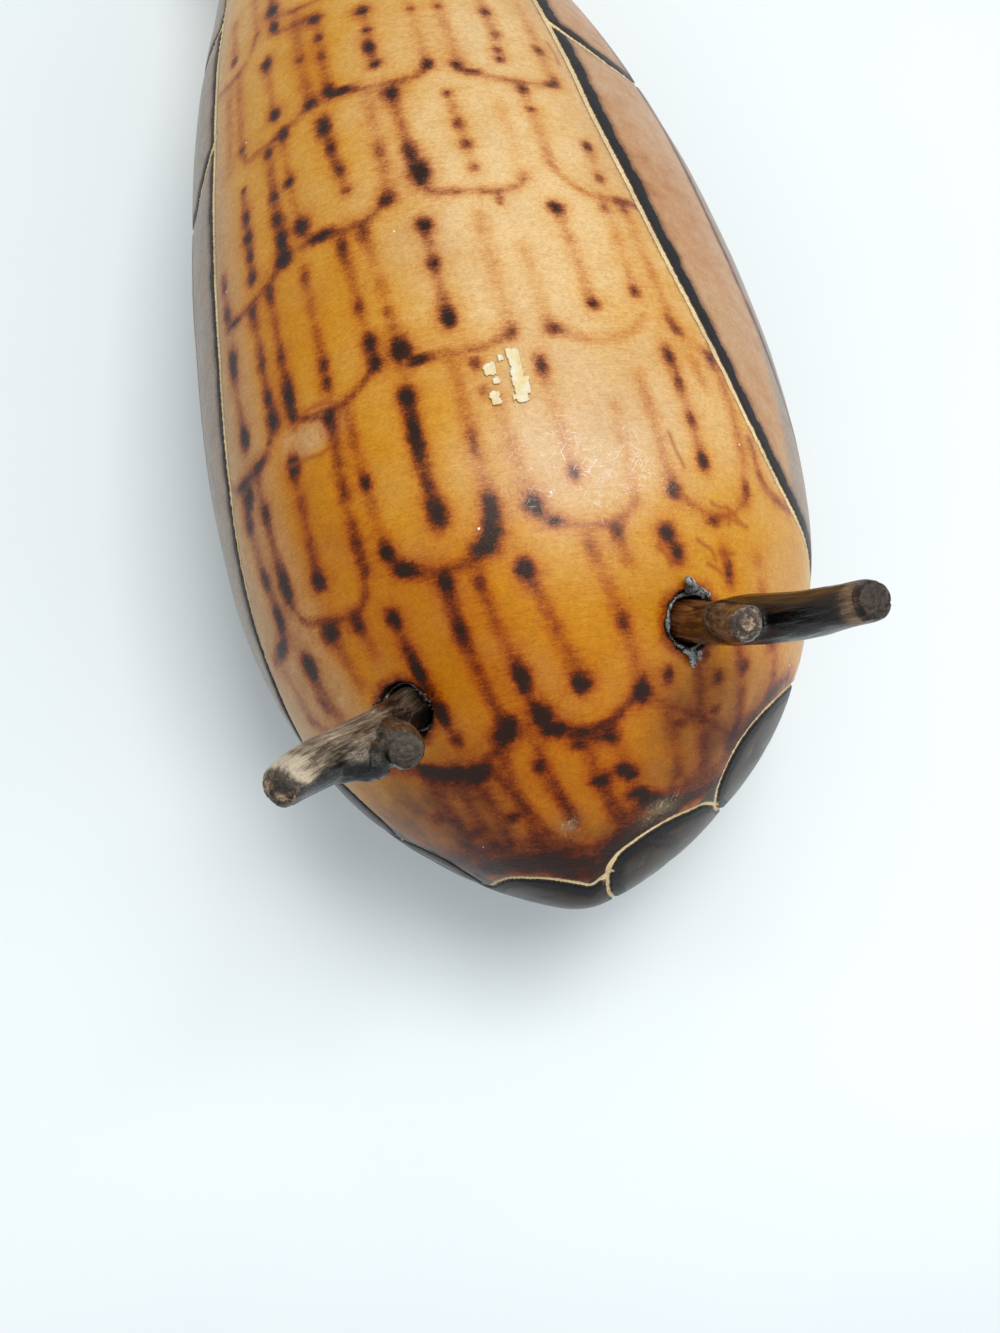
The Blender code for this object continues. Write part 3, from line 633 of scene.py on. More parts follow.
def split_marked(faces, middles):
    """Cuts each triangle at the middles of its marked edges. A middle of -1 is an edge left whole."""
    marks = middles >= 0
    count = marks.sum(axis=1)
    parts = [faces[count == 0]]
    for turn in range(3):
        a, b, c = (turn, (turn + 1) % 3, (turn + 2) % 3)
        one = (count == 1) & marks[:, a]
        f, m = faces[one], middles[one]
        parts += [np.stack([f[:, a], m[:, a], f[:, c]], 1), np.stack([m[:, a], f[:, b], f[:, c]], 1)]
        two = (count == 2) & marks[:, a] & marks[:, b]
        f, m = faces[two], middles[two]
        parts += [
            np.stack([m[:, a], f[:, b], m[:, b]], 1),
            np.stack([f[:, a], m[:, a], m[:, b]], 1),
            np.stack([f[:, a], m[:, b], f[:, c]], 1),
        ]
    f, m = faces[count == 3], middles[count == 3]
    parts += [
        np.stack([f[:, 0], m[:, 0], m[:, 2]], 1),
        np.stack([m[:, 0], f[:, 1], m[:, 1]], 1),
        np.stack([m[:, 2], m[:, 1], f[:, 2]], 1),
        m.copy(),
    ]
    return np.concatenate(parts)


def wanted_edge(points, angles, stations):
    """How long the longest edges may be at these places."""
    visible = smooth_step(-78, -70, angles) * smooth_step(80, 64, angles) * smooth_step(216, 196, stations)
    wanted = EDGE_ELSEWHERE + (EDGE_BELLY - EDGE_ELSEWHERE) * visible
    wanted = np.where(stations < 30, np.minimum(wanted, EDGE_NEAR_TAIL), wanted)
    _, distance = GROOVE_FIELD.nearest(points)
    wanted = np.where(distance < 1.5, EDGE_AT_GROOVE, wanted)
    for place in SOCKETS.values():
        reach = np.linalg.norm(points - on_skin(*place), axis=1)
        wanted = np.where(reach < 7.5, np.minimum(wanted, EDGE_AT_SOCKET), wanted)
    _, distance = CRACK_FIELD.nearest(points)
    return np.where(distance < 0.9, np.minimum(wanted, EDGE_AT_CRACK), wanted)


def fine_net():
    """The net over the gourd, cut finer where there is something to show."""
    arcs, angles, faces = base_rings()
    for _ in range(NET_ROUNDS):
        stations = station_at(arcs)
        points = skin_points(stations, np.interp(arcs, MERIDIAN_ARC, MERIDIAN[:, 1]), angles)
        corners = np.stack([faces, np.roll(faces, -1, axis=1)], axis=2).reshape(-1, 2)
        corners.sort(axis=1)
        edges, where = np.unique(corners, axis=0, return_inverse=True)
        a, b = edges[:, 0], edges[:, 1]
        length = np.linalg.norm(points[a] - points[b], axis=1)
        swing = (angles[b] - angles[a] + 180) % 360 - 180
        at_pole = (arcs[a] <= 0) | (arcs[a] >= ARC_LENGTH)
        other_pole = (arcs[b] <= 0) | (arcs[b] >= ARC_LENGTH)
        middle_angle = np.where(at_pole, angles[b], np.where(other_pole, angles[a], angles[a] + swing / 2))
        middle_angle = (middle_angle + 180) % 360 - 180
        middle_arc = (arcs[a] + arcs[b]) / 2
        middles = (points[a] + points[b]) / 2
        marked = length > EDGE_AT_SOCKET
        marked[marked] = length[marked] > wanted_edge(
            middles[marked], middle_angle[marked], station_at(middle_arc[marked])
        )
        if not marked.any():
            break
        new_index = np.full(len(edges), -1)
        new_index[marked] = len(arcs) + np.arange(marked.sum())
        arcs = np.concatenate([arcs, middle_arc[marked]])
        angles = np.concatenate([angles, middle_angle[marked]])
        faces = split_marked(faces, new_index[where].reshape(-1, 3))
    return arcs, angles, faces


def normals_of(points, faces):
    a, b, c = points[faces[:, 0]], points[faces[:, 1]], points[faces[:, 2]]
    flat = np.cross(b - a, c - a)
    total = np.zeros_like(points)
    for k in range(3):
        np.add.at(total, faces[:, k], flat)
    return total / np.linalg.norm(total, axis=1, keepdims=True)


def spatial_noise(points, size, seed):
    """Smooth noise between about -1 and 1, with features about size millimetres apart."""
    offset = Vector((seed * 17.3, seed * 5.1, seed * 11.7))
    return np.array([noise.noise(Vector(p) / size + offset) for p in points])


# ---------------------------------------------------------------- heat, char and stain, vertex by vertex


def burn_line(heat, points, line, half_width, strength, seed):
    """Adds the heat of a burnt line: a soft scorch, blotched along its run as the tip hurried or lingered."""
    reach = half_width * 2.6
    near = np.all((points > line.min(axis=0) - reach) & (points < line.max(axis=0) + reach), axis=1)
    index = np.flatnonzero(near)
    if not len(index):
        return
    gaps = np.linalg.norm(points[index][:, None, :] - line[None, :, :], axis=2)
    closest = gaps.argmin(axis=1)
    distance = gaps[np.arange(len(index)), closest]
    blotches = spatial_noise(line, 3.6, seed) * 0.7 + spatial_noise(line, 1.3, seed + 3) * 0.35
    strengths = LINE_HEAT * strength * np.clip(1.0 + blotches, 0.25, 1.9)
    ragged = 1 + 0.25 * spatial_noise(points[index], 1.6, 4)
    added = strengths[closest] * np.exp(-((distance * ragged / (LINE_WIDTH * half_width)) ** 2))
    heat[index] = 1 - (1 - heat[index]) * (1 - np.minimum(added, 1))


def burn_dab(heat, points, angle, station, half_length, half_width, strength):
    middle = on_skin(angle, station)
    reach = max(half_length, half_width) * 2.6
    index = np.flatnonzero(np.all(np.abs(points - middle) < reach, axis=1))
    if not len(index):
        return
    along = on_skin(angle, station + 0.5) - on_skin(angle, station - 0.5)
    along /= np.linalg.norm(along)
    offset = points[index] - middle
    length = offset @ along
    width = np.linalg.norm(offset - length[:, None] * along, axis=1)
    far = np.hypot(length / half_length, width / half_width)
    ragged = 1 + 0.35 * spatial_noise(points[index], 1.5, 5) + 0.2 * spatial_noise(points[index], 0.8, 6)
    core = np.exp(-((far * ragged / DAB_SIZE) ** 2.3))
    halo = 0.24 * np.exp(-((far / 1.9) ** 2))
    heat[index] = heat[index] + DAB_HEAT * strength * (core + halo) * (1 - np.minimum(heat[index], 1) * 0.6)


def neck_feathers(rng):
    """The feathers nearer the neck: for each, two sides, a quill and a hem, all a little uneven."""
    lines, dabs = [], []
    for row, station in enumerate(NECK_ROW_STATIONS):
        low, high = NECK_ROW_LIMITS[station]
        width = NECK_FEATHER_WIDTH * 50 / max(float(radius_at(station)), 30)
        first = low + (0.5 if row % 2 else 0.1) * width
        for k in range(int((high - first) / width)):
            left = first + k * width + rng.uniform(-1, 1)
            right = left + width * 0.84
            middle = (left + right) / 2
            corner = width * 0.14
            foot = station + rng.uniform(-1.5, 1.5)
            top = foot + NECK_ROW_LENGTH * rng.uniform(0.72, 0.9)
            for side in (left, right):
                lines.append((1.3, rng.uniform(0.2, 0.42), ((side, top), (side, foot + 4))))
                dabs.append((side, foot + rng.uniform(3, 5), 1.3, 1.3, rng.uniform(0.6, 1.0)))
            bottom = ((left + corner, foot + 0.6), (middle, foot), (right - corner, foot + 0.6))
            hem = ((left, foot + 3), *bottom, (right, foot + 3))
            lines.append((0.9, rng.uniform(0.3, 0.5), hem))
            lines.append((1.3, rng.uniform(0.3, 0.5), ((middle, top - 3), (middle, foot + 6))))
            dabs.append((middle, foot + rng.uniform(6, 9), 1.6, 1.3, rng.uniform(0.7, 1.0)))
    return lines, dabs


def belly_heat(points):
    heat = np.zeros(len(points))
    lines, dabs = neck_feathers(np.random.default_rng(SEED))
    for seed, (half_width, strength, places) in enumerate([*BELLY_LINES, *lines]):
        line = smooth_line(places)[0]
        burn_line(heat, points, line, half_width, strength, seed)
        burn_line(heat, points, line, half_width + HALO_REACH, HALO_HEAT * min(strength, 0.6), seed + 100)
    for dab in [*DABS, *dabs]:
        burn_dab(heat, points, *dab)
    return heat


def crack_nearness(points):
    """How near each place is to a crack, 1 on it."""
    _, distance = CRACK_FIELD.nearest(points)
    return np.exp(-((distance / CRACK_HALF_WIDTH) ** 2))


def wing_heat(points):
    """Dark lines between the long feathers, in a soft scorch."""
    heat = np.zeros(len(points))
    for seed, places in enumerate(QUILL_LINES):
        line = smooth_line(places)[0]
        burn_line(heat, points, line, 1.0, 1.6, seed + 40)
        burn_line(heat, points, line, 2.8, 0.30, seed + 60)
    return heat


def char_depth(points, normals):
    """How far inside a band of char each place is, in millimetres, and negative outside. The band's far
    edge goes in and out as overlapping dabs of a hot tip leave it."""
    depth = np.full(len(points), -CHAR_REACH)
    for number, (name, (width, _)) in enumerate(GROOVES.items()):
        field = LineField([GROOVE_LINES[name]])
        index, signed, distance = field.signed(points, normals)
        side = signed * (1 if width > 0 else -1)
        run = field.run[index]
        dabs = 0.42 * np.abs(np.sin(run / 7.5 * math.pi + number)) - 0.25
        drift = 0.5 * spatial_noise(points, 9.0, number)
        inside = np.minimum(abs(width) + dabs + drift - side, side + 0.25)
        inside = np.where(distance < 9, inside, -CHAR_REACH)
        taper = smooth_step(0, 5, run) * smooth_step(0, 5, field.run.max() - run)
        inside = inside - (1 - taper) * 1.2
        depth = np.maximum(depth, inside)
    return np.clip(depth, -CHAR_REACH, CHAR_REACH)


def groove_distances(points, normals):
    """The distance to the nearest gouged line, and the same across the line alone, signed by side, so
    that the line stays crisp between vertices."""
    index, distance = GROOVE_FIELD.nearest(points)
    across = np.cross(normals, GROOVE_FIELD.tangents[index])
    across /= np.linalg.norm(across, axis=1, keepdims=True)
    side = np.einsum("ij,ij->i", across, points - GROOVE_FIELD.points[index])
    return distance, np.where(distance < 1.6, side, distance)


def inside_loop(name, points, angles, stations):
    """Whether each place lies inside a closed gouged line, tested in the plane of angle and station."""
    loop = smooth_line(GROOVES[name][1])[1]
    x, y = loop[:, 0], loop[:, 1]
    inside = np.zeros(len(points), bool)
    for x0, y0, x1, y1 in zip(x[:-1], y[:-1], x[1:], y[1:]):
        if y0 == y1:
            continue
        crosses = (y0 > stations) != (y1 > stations)
        inside ^= crosses & (angles < x0 + (stations - y0) / (y1 - y0) * (x1 - x0))
    return inside


def tail_amount(angles, stations):
    """1 on the tail's own feathers, which wrap round from the back, and 0 on the belly."""
    places = (
        (-180, 66), (-150, 44), (-120, 33.5), (-100, 34), (-88.5, 37.5), (-84.5, 28), (-83.8, 9), (-82, 5.9),
        (-65, 5.2), (-25, 2.9), (0, 1.6), (28, 4.4), (37, 6.3), (51, 9), (62, 10.8), (64.8, 12), (65.3, 20.6),
        (70, 25.4), (82, 31.7), (96, 36.5), (120, 40), (180, 62),
    )
    edge = np.interp(angles, *zip(*places))
    return smooth_step(0.6, -0.6, stations - edge)


def amber_depth(points, angles, stations):
    """How deep the varnished amber is: pale on the upper right belly, deep towards the tail and the left."""
    depth = 0.36 + 0.10 * spatial_noise(points, 26, 1) + 0.08 * spatial_noise(points, 9, 2)
    depth = depth + 0.13 * smooth_step(62, 40, stations) + 0.22 * smooth_step(22, 8, stations)
    for angle, station, reach_angle, reach_station, amount in AMBER_PATCHES:
        far = np.hypot((angles - angle) / reach_angle, (stations - station) / reach_station)
        depth = depth + amount * np.exp(-(far**2))
    depth = depth + 0.25 * smooth_step(90, 150, np.abs(angles)) + 0.2 * smooth_step(225, 262, stations)
    return np.clip(depth, 0, 1.2)


def blob(angles, stations, angle, station, reach_angle, reach_station):
    """1 at a place, falling off softly over its reach in degrees and in millimetres."""
    return np.exp(-(((angles - angle) / reach_angle) ** 2) - ((stations - station) / reach_station) ** 2)


def tan_amount(points, angles, stations):
    """Where the varnish is thin and the shell pinkish tan: along both margins of the belly and in patches."""
    left = smooth_step(-42, -54, angles) * 0.95 * smooth_step(20, 36, stations)
    right = 0.60 * smooth_step(20, 33, angles) * smooth_step(95, 120, stations)
    middle = 0.62 * blob(angles, stations, 14, 68, 17, 17)
    upper = 0.40 * blob(angles, stations, -6, 102, 9, 9)
    beside = angles + 35.6
    ahead = stations - 75.2 - 0.1 * beside
    worn = 0.95 * np.exp(-((beside / 7.6) ** 4) - (ahead / 3.4) ** 4)
    low = 0.30 * smooth_step(40, 60, angles) * smooth_step(60, 40, stations)
    patches = 0.22 * spatial_noise(points, 11, 33) + 0.12 * spatial_noise(points, 5, 34)
    most = np.maximum.reduce([left, right, middle, upper, worn, low])
    return np.clip(most + patches, 0, 1)


def umber_amount(points, angles, stations):
    """Where smoke and old varnish darken the belly to brown, round the tail."""
    left = 0.90 * smooth_step(-12, -40, angles) * smooth_step(28, 14, stations)
    left_edge = 0.85 * smooth_step(-42, -58, angles) * smooth_step(27, 17, stations)
    right = 0.80 * smooth_step(18, 40, angles) * smooth_step(34, 22, stations) * smooth_step(9, 15, stations)
    tip = 0.90 * smooth_step(13, 4, stations)
    left_margin = 0.26 * smooth_step(-44, -57, angles) * smooth_step(190, 110, stations)
    most = np.maximum.reduce([left, left_edge, left_margin, right, tip])
    mottle = 1 + 0.5 * spatial_noise(points, 5, 35) + 0.3 * spatial_noise(points, 2.2, 36)
    return np.clip(most * mottle, 0, 1)


def socket_fields(points):
    """For each place near a socket: how far it lies outside the ragged rim, and which way is in."""
    outside = np.full(len(points), 30.0)
    inward = np.zeros_like(points)
    for place in SOCKETS.values():
        outward = way_out(*place)
        offset = points - on_skin(*place)
        flat = offset - (offset @ outward)[:, None] * outward
        distance = np.linalg.norm(flat, axis=1)
        ragged = 0.45 * spatial_noise(points, 2.2, 9) + 0.25 * spatial_noise(points, 0.9, 10)
        gap = distance - SOCKET_RADIUS + ragged
        gap = np.where(offset @ outward > -20, gap, 30.0)
        nearer = gap < outside
        outside = np.where(nearer, gap, outside)
        inward[nearer] = -outward
    return outside, inward


# ---------------------------------------------------------------- nodes


class Look:
    """A material in the making. Most methods add a node to it and give back the node's output."""

    def __init__(self, name):
        self.material = bpy.data.materials.new(name)
        self.material.use_nodes = True
        self.tree = self.material.node_tree
        self.shader = self.tree.nodes["Principled BSDF"]

    def node(self, kind, sockets, **settings):
        made = self.tree.nodes.new("ShaderNode" + kind)
        for key, value in settings.items():
            setattr(made, key, value)
        for key, value in sockets.items():
            if isinstance(value, bpy.types.NodeSocket):
                self.tree.links.new(value, made.inputs[key])
            else:
                made.inputs[key].default_value = value
        return made

    def maths(self, operation, a, b=0.0, c=0.0, clamp=False):
        sockets = {0: a, 1: b, 2: c}
        return self.node("Math", sockets, operation=operation, use_clamp=clamp).outputs[0]

    def times(self, a, b, clamp=False):
        return self.maths("MULTIPLY", a, b, clamp=clamp)

    def most(self, a, b):
        return self.maths("MAXIMUM", a, b)

    def add(self, value, amount, base, clamp=False):
        """The base, and the value times the amount on top."""
        return self.maths("MULTIPLY_ADD", value, amount, base, clamp)

    def sway(self, noise, amount, base):
        """The base, moved up and down by noise, whose middle is a half."""
        return self.add(self.maths("SUBTRACT", noise, 0.5), amount, base)

    def mix(self, factor, a, b, blend="MIX"):
        a, b = (c if isinstance(c, bpy.types.NodeSocket) else (*c, 1.0) for c in (a, b))
        sockets = {0: factor, 6: a, 7: b}
        return self.node("Mix", sockets, data_type="RGBA", blend_type=blend).outputs[2]

    def layer(self, below, mask, strength, colour, blend="MIX"):
        """A colour laid over what is below, where the mask says and as strongly as given."""
        return self.mix(self.times(mask, strength), below, colour, blend)

    def ramp(self, factor, *stops):
        """Colours along a value. Each stop is its position, red, green and blue."""
        made = self.node("ValToRGB", {0: factor})
        elements = made.color_ramp.elements
        while len(elements) < len(stops):
            elements.new(0.5)
        for element, (position, *colour) in zip(elements, stops):
            element.position = position
            element.color = (*colour, 1.0)
        return made.outputs[0]

    def fade(self, value, low, high):
        """0 at low, 1 at high, smooth between; low may be the greater."""
        sockets = {"Value": value, "From Min": low, "From Max": high}
        return self.node("MapRange", sockets, interpolation_type="SMOOTHSTEP").outputs[0]

    def mark(self, name, output="Fac"):
        """A value kept at the mesh's vertices."""
        return self.node("Attribute", {}, attribute_name=name).outputs[output]

    def mapped(self, vector, **sockets):
        return self.node("Mapping", {"Vector": vector, **sockets}).outputs[0]

    def place(self):
        return self.node("TexCoord", {}).outputs["Object"]

    def stretched(self, *scales):
        """Coordinates in features per millimetre, with a scale of its own for each axis."""
        return self.mapped(self.place(), Scale=[scale / MM for scale in scales])

    def noise_at(self, vector, detail=3.0, roughness=0.55, distortion=0.0):
        sockets = {"Vector": vector, "Scale": 1.0, "Detail": detail, "Roughness": roughness}
        return self.node("TexNoise", {**sockets, "Distortion": distortion}).outputs["Fac"]

    def noise(self, scales, *settings):
        """Noise with so many features per millimetre along each axis."""
        return self.noise_at(self.stretched(*scales), *settings)

    def scratches(self, degrees):
        """Noise drawn out into fine straight strokes at an angle across the top of the gourd."""
        turned = self.mapped(self.place(), Rotation=(0, 0, math.radians(degrees)))
        strokes = self.mapped(turned, Scale=[scale / MM for scale in (0.35, 4.5, 1.0)])
        return self.fade(self.noise_at(strokes, 2.0, 0.6, 0.3), 0.625, 0.665)

    def cells(self, density):
        """The distance to the nearest of many scattered points, so many a millimetre."""
        sockets = {"Vector": self.stretched(density, density, density), "Scale": 1.0}
        return self.node("TexVoronoi", sockets).outputs["Distance"]

    def finished(self, colour, rough, relief, strength, depth):
        """The material, with relief as strong as given and as many millimetres deep."""
        sockets = {"Height": relief, "Strength": strength, "Distance": depth * MM}
        bump = self.node("Bump", sockets).outputs[0]
        for name, value in (("Base Color", colour), ("Roughness", rough), ("Normal", bump)):
            self.tree.links.new(value, self.shader.inputs[name])
        return self.material


class ShellLook(Look):
    """The gourd's skin, in layers: each takes the colour so far and gives back the next."""

    def __init__(self):
        super().__init__("varnished_gourd_shell")
        self.fibre = self.noise((0.40, 3.0, 0.40), 5.0, 0.65, 0.5)
        self.fine = self.noise((2.0, 4.2, 2.0), 4.0, 0.7)
        self.grit = self.noise((5.5, 7.0, 5.5), 2.0, 0.6)
        self.patch = self.noise((0.06, 0.05, 0.06), 3.0, 0.55, 0.6)
        self.cloud = self.noise((0.24, 0.30, 0.24), 4.0, 0.6, 0.5)
        self.edge = self.noise((1.0, 1.0, 1.0), 4.0, 0.65)

    def belly(self):
        """Amber varnish, tan where it is thin and umber where it is smoked."""
        amber = self.add(self.patch, 0.42, self.mark("amber"))
        amber = self.add(self.cloud, 0.36, amber)
        amber = self.add(self.fibre, 0.30, amber)
        colour = self.ramp(
            self.maths("SUBTRACT", amber, 0.54, clamp=True),
            (0.0, 0.75, 0.53, 0.26),
            (0.26, 0.67, 0.39, 0.115),
            (0.48, 0.63, 0.32, 0.040),
            (0.74, 0.57, 0.24, 0.005),
            (1.0, 0.47, 0.165, 0.003),
        )
        tan = self.ramp(
            self.cloud,
            (0.25, 0.44, 0.255, 0.130),
            (0.5, 0.56, 0.35, 0.185),
            (0.75, 0.66, 0.45, 0.25),
        )
        colour = self.mix(self.times(self.mark("tan"), 0.72), colour, tan)
        umber = self.ramp(self.cloud, (0.3, 0.13, 0.042, 0.012), (0.7, 0.27, 0.105, 0.022))
        return self.mix(self.mark("umber"), colour, umber)

    def wings(self):
        """Bare brown shell, with painted grey sheen on the flanks."""
        colour = self.ramp(
            self.add(self.cloud, 0.9, self.maths("SUBTRACT", self.patch, 0.42)),
            (0.15, 0.53, 0.335, 0.185),
            (0.45, 0.51, 0.290, 0.140),
            (0.70, 0.47, 0.225, 0.088),
            (0.90, 0.37, 0.145, 0.042),
        )
        # Painted sheen: grey standing in for the pale surroundings reflected on the wing flanks.
        wing_sheen = self.ramp(self.fibre, (0.3, 0.18, 0.145, 0.12), (0.7, 0.35, 0.30, 0.255))
        return self.mix(self.mark("wing_sheen"), colour, wing_sheen)

    def speckled(self, colour):
        """Darker mottle, flecks, threads and specks."""
        for noise, low, high, strength, tint in (
            (self.edge, 0.38, 0.64, 0.30, (0.72, 0.58, 0.44)),
            (self.fine, 0.40, 0.72, 0.46, (0.62, 0.46, 0.32)),
            (self.fibre, 0.54, 0.66, 0.22, (0.66, 0.50, 0.36)),
            (self.grit, 0.66, 0.78, 0.42, (0.42, 0.24, 0.14)),
        ):
            colour = self.layer(colour, self.fade(noise, low, high), strength, tint, "MULTIPLY")
        return colour

    def scorched(self, colour):
        """Smoke stains, then the burnt lines and dabs, whose edges follow the grain, and the cracks."""
        stain = self.times(self.mark("smoke"), self.maths("ADD", 0.55, self.cloud), clamp=True)
        soot = self.ramp(self.cloud, (0.35, 0.010, 0.009, 0.008), (0.62, 0.045, 0.029, 0.020))
        colour = self.mix(stain, colour, soot)
        wobble = self.sway(self.fibre, 0.9, 1.0)
        wobble = self.sway(self.fine, 1.1, wobble)
        wobble = self.sway(self.edge, 0.7, wobble)
        heat = self.times(self.mark("scorch"), wobble)
        scorch = self.ramp(
            heat,
            (0.0, 1.0, 1.0, 1.0),
            (0.10, 0.95, 0.82, 0.66),
            (0.26, 0.78, 0.52, 0.38),
            (0.46, 0.46, 0.22, 0.16),
            (0.68, 0.22, 0.090, 0.075),
            (0.92, 0.090, 0.040, 0.040),
        )
        colour = self.mix(1.0, colour, scorch, "MULTIPLY")
        black = self.fade(heat, 0.60, 1.15)
        colour = self.mix(black, colour, (0.022, 0.008, 0.004))
        return self.layer(colour, self.mark("crack"), 1.0, (0.32, 0.060, 0.004)), black

    def charred(self, colour):
        """The bands of char beside the gouged lines, and where they lie."""
        depth = self.sway(self.edge, 1.2, self.mark("char"))
        colour = self.layer(colour, self.fade(depth, -1.5, 0.1), 0.70, (0.36, 0.17, 0.10), "MULTIPLY")
        band = self.fade(depth, -0.16, 0.20)
        soot = self.ramp(self.fine, (0.3, 0.004, 0.004, 0.005), (0.7, 0.014, 0.012, 0.012))
        return self.mix(band, colour, soot), band

    def gouged(self, colour):
        """Fresh cut shell in the gouged lines, with a dark edge, and where it lies."""
        sideways = self.maths("ABSOLUTE", self.mark("groove_side"))
        line = self.most(sideways, self.maths("SUBTRACT", self.mark("groove"), 0.4))
        line = self.maths("DIVIDE", self.sway(self.edge, 0.30, line), self.mark("cut_width"))
        colour = self.layer(colour, self.fade(line, 0.62, 0.38), 0.85, (0.060, 0.032, 0.022))
        cut = self.fade(line, 0.36, 0.26)
        pith = self.ramp(
            self.fine,
            (0.25, 0.46, 0.31, 0.14),
            (0.5, 0.74, 0.57, 0.31),
            (0.8, 0.86, 0.74, 0.50),
        )
        return self.mix(self.times(cut, self.mark("bare_cut")), colour, pith), cut

    def scuffed_with_sheen(self, colour):
        """Scratches and grazes in the varnish, with a painted highlight over the scuffed patch, and where the
        scratches lie.
        """
        crossing = self.most(self.scratches(35), self.scratches(-50))
        strokes = self.most(crossing, self.most(self.scratches(80), self.scratches(5)))
        worn = self.fade(self.mark("scuff_and_sheen"), 0.12, 0.75)
        scuff_and_sheen = self.times(strokes, self.times(worn, self.fade(self.cloud, 0.36, 0.60)))
        grazed = self.times(self.mark("graze"), self.fade(self.cloud, 0.35, 0.60))
        streaks = self.times(self.mark("graze"), crossing)
        # Painted highlight: a pale haze and white strokes over the scuffed patch, where the belly's sheen
        # lies on real scratches and dust.
        colour = self.layer(colour, self.mark("scuff_and_sheen"), 0.16, (0.80, 0.60, 0.48))
        colour = self.layer(colour, scuff_and_sheen, 0.45, (0.94, 0.90, 0.88))
        colour = self.layer(colour, grazed, 0.55, (0.27, 0.19, 0.10))
        return self.layer(colour, streaks, 0.75, (0.50, 0.41, 0.26)), scuff_and_sheen

    def littered(self, colour):
        """Lint, and the rings that water drops left."""
        lint = self.fade(self.cells(0.105), 0.026, 0.016)
        colour = self.layer(colour, lint, 0.85, (0.93, 0.92, 0.90))
        spots = self.cells(0.036)
        ringed = self.times(self.fade(spots, 0.055, 0.075), self.fade(spots, 0.085, 0.070))
        return self.layer(colour, ringed, 0.22, (0.42, 0.22, 0.09))


def shell_material():
    """Varnished gourd shell: amber with fine cross fibres, scorched brown to black by the hot tip, with
    cream-coloured gouged lines, scratches under a painted highlight, painted grey sheen on the wing flanks,
    lint and water spots."""
    look = ShellLook()
    colour = look.mix(look.mark("wing"), look.belly(), look.wings())
    colour, black = look.scorched(look.speckled(colour))
    colour, band = look.charred(colour)
    colour, cut = look.gouged(colour)
    colour, scuff_and_sheen = look.scuffed_with_sheen(colour)
    colour = look.littered(colour)
    rough = look.add(look.cloud, 0.20, 0.22)
    rough = look.add(cut, 0.3, rough)
    rough = look.add(look.mark("scuff_and_sheen"), 0.12, rough)
    rough = look.add(band, 0.10, rough, clamp=True)
    relief = look.add(look.fibre, 0.5, look.times(look.fine, 0.4))
    relief = look.add(look.cloud, 1.0, relief)
    relief = look.add(look.times(black, look.fine), 0.8, relief)
    relief = look.add(scuff_and_sheen, 0.6, relief)
    look.shader.inputs["Specular IOR Level"].default_value = SHELL_SPECULAR
    return look.finished(colour, rough, relief, 0.30, 0.25)


# ---------------------------------------------------------------- pieces


def linked(name, data):
    """A new object in the scene."""
    made = bpy.data.objects.new(name, data)
    bpy.context.scene.collection.objects.link(made)
    return made


def finished_object(name, mesh, material, node_name=None):
    """A piece in the frame, from a mesh in millimetres in the gourd's own axes."""
    mesh.transform(LAY)
    mesh.update()
    mesh.shade_smooth()
    mesh.materials.clear()
    mesh.materials.append(material)
    piece = linked(name, mesh)
    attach(piece, "root")
    if node_name:
        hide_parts(node_name)
    return piece


def store(mesh, name, values):
    layer = mesh.attributes.new(name, "FLOAT", "POINT")
    layer.data.foreach_set("value", np.asarray(values, np.float32))


def stain_and_sheen_marks(points, angles, stations, char, wing, tail):
    """Smoke round the tail and the stem, painted grey sheen on the wings, and scuffs and grazes in the
    varnish, with a painted highlight over the scuffs.
    """
    mottle = 1 + 0.35 * spatial_noise(points, 6, 41) + 0.2 * spatial_noise(points, 2.5, 42)
    smoke = 1.2 * tail * mottle + 0.25 * smooth_step(-2.5, 0, char) * wing
    smoke = smoke + 0.5 * smooth_step(266, 270, stations)
    # Painted sheen: how strongly the grey reflection of the surroundings is painted on the wing flanks.
    wing_sheen = 0.85 * smooth_step(-52, -60, angles) + 0.8 * smooth_step(62, 66, angles)
    wing_sheen = wing_sheen * wing * (1 + 0.25 * spatial_noise(points, 7, 43))
    # The scuffed patch on the upper belly: real scratches and dust, with a painted highlight over them in the
    # material.
    scuff_and_sheen = blob(angles, stations, 12, 58, 16, 9)
    scuff_and_sheen = np.maximum(scuff_and_sheen, 0.45 * blob(angles, stations, -5, 60, 8, 5))
    beside_line = stations - 10.6 - 0.14 * (angles - 43)
    graze = np.exp(-(((angles - 42) / 8) ** 2) - (beside_line / 1.4) ** 2)
    graze = np.maximum(graze, blob(angles, stations, -4, 8.8, 4.5, 1.2))
    return {
        "smoke": np.clip(smoke, 0, 1),
        "wing_sheen": np.clip(wing_sheen, 0, 1),
        "scuff_and_sheen": np.clip(scuff_and_sheen, 0, 1),
        "graze": graze,
    }


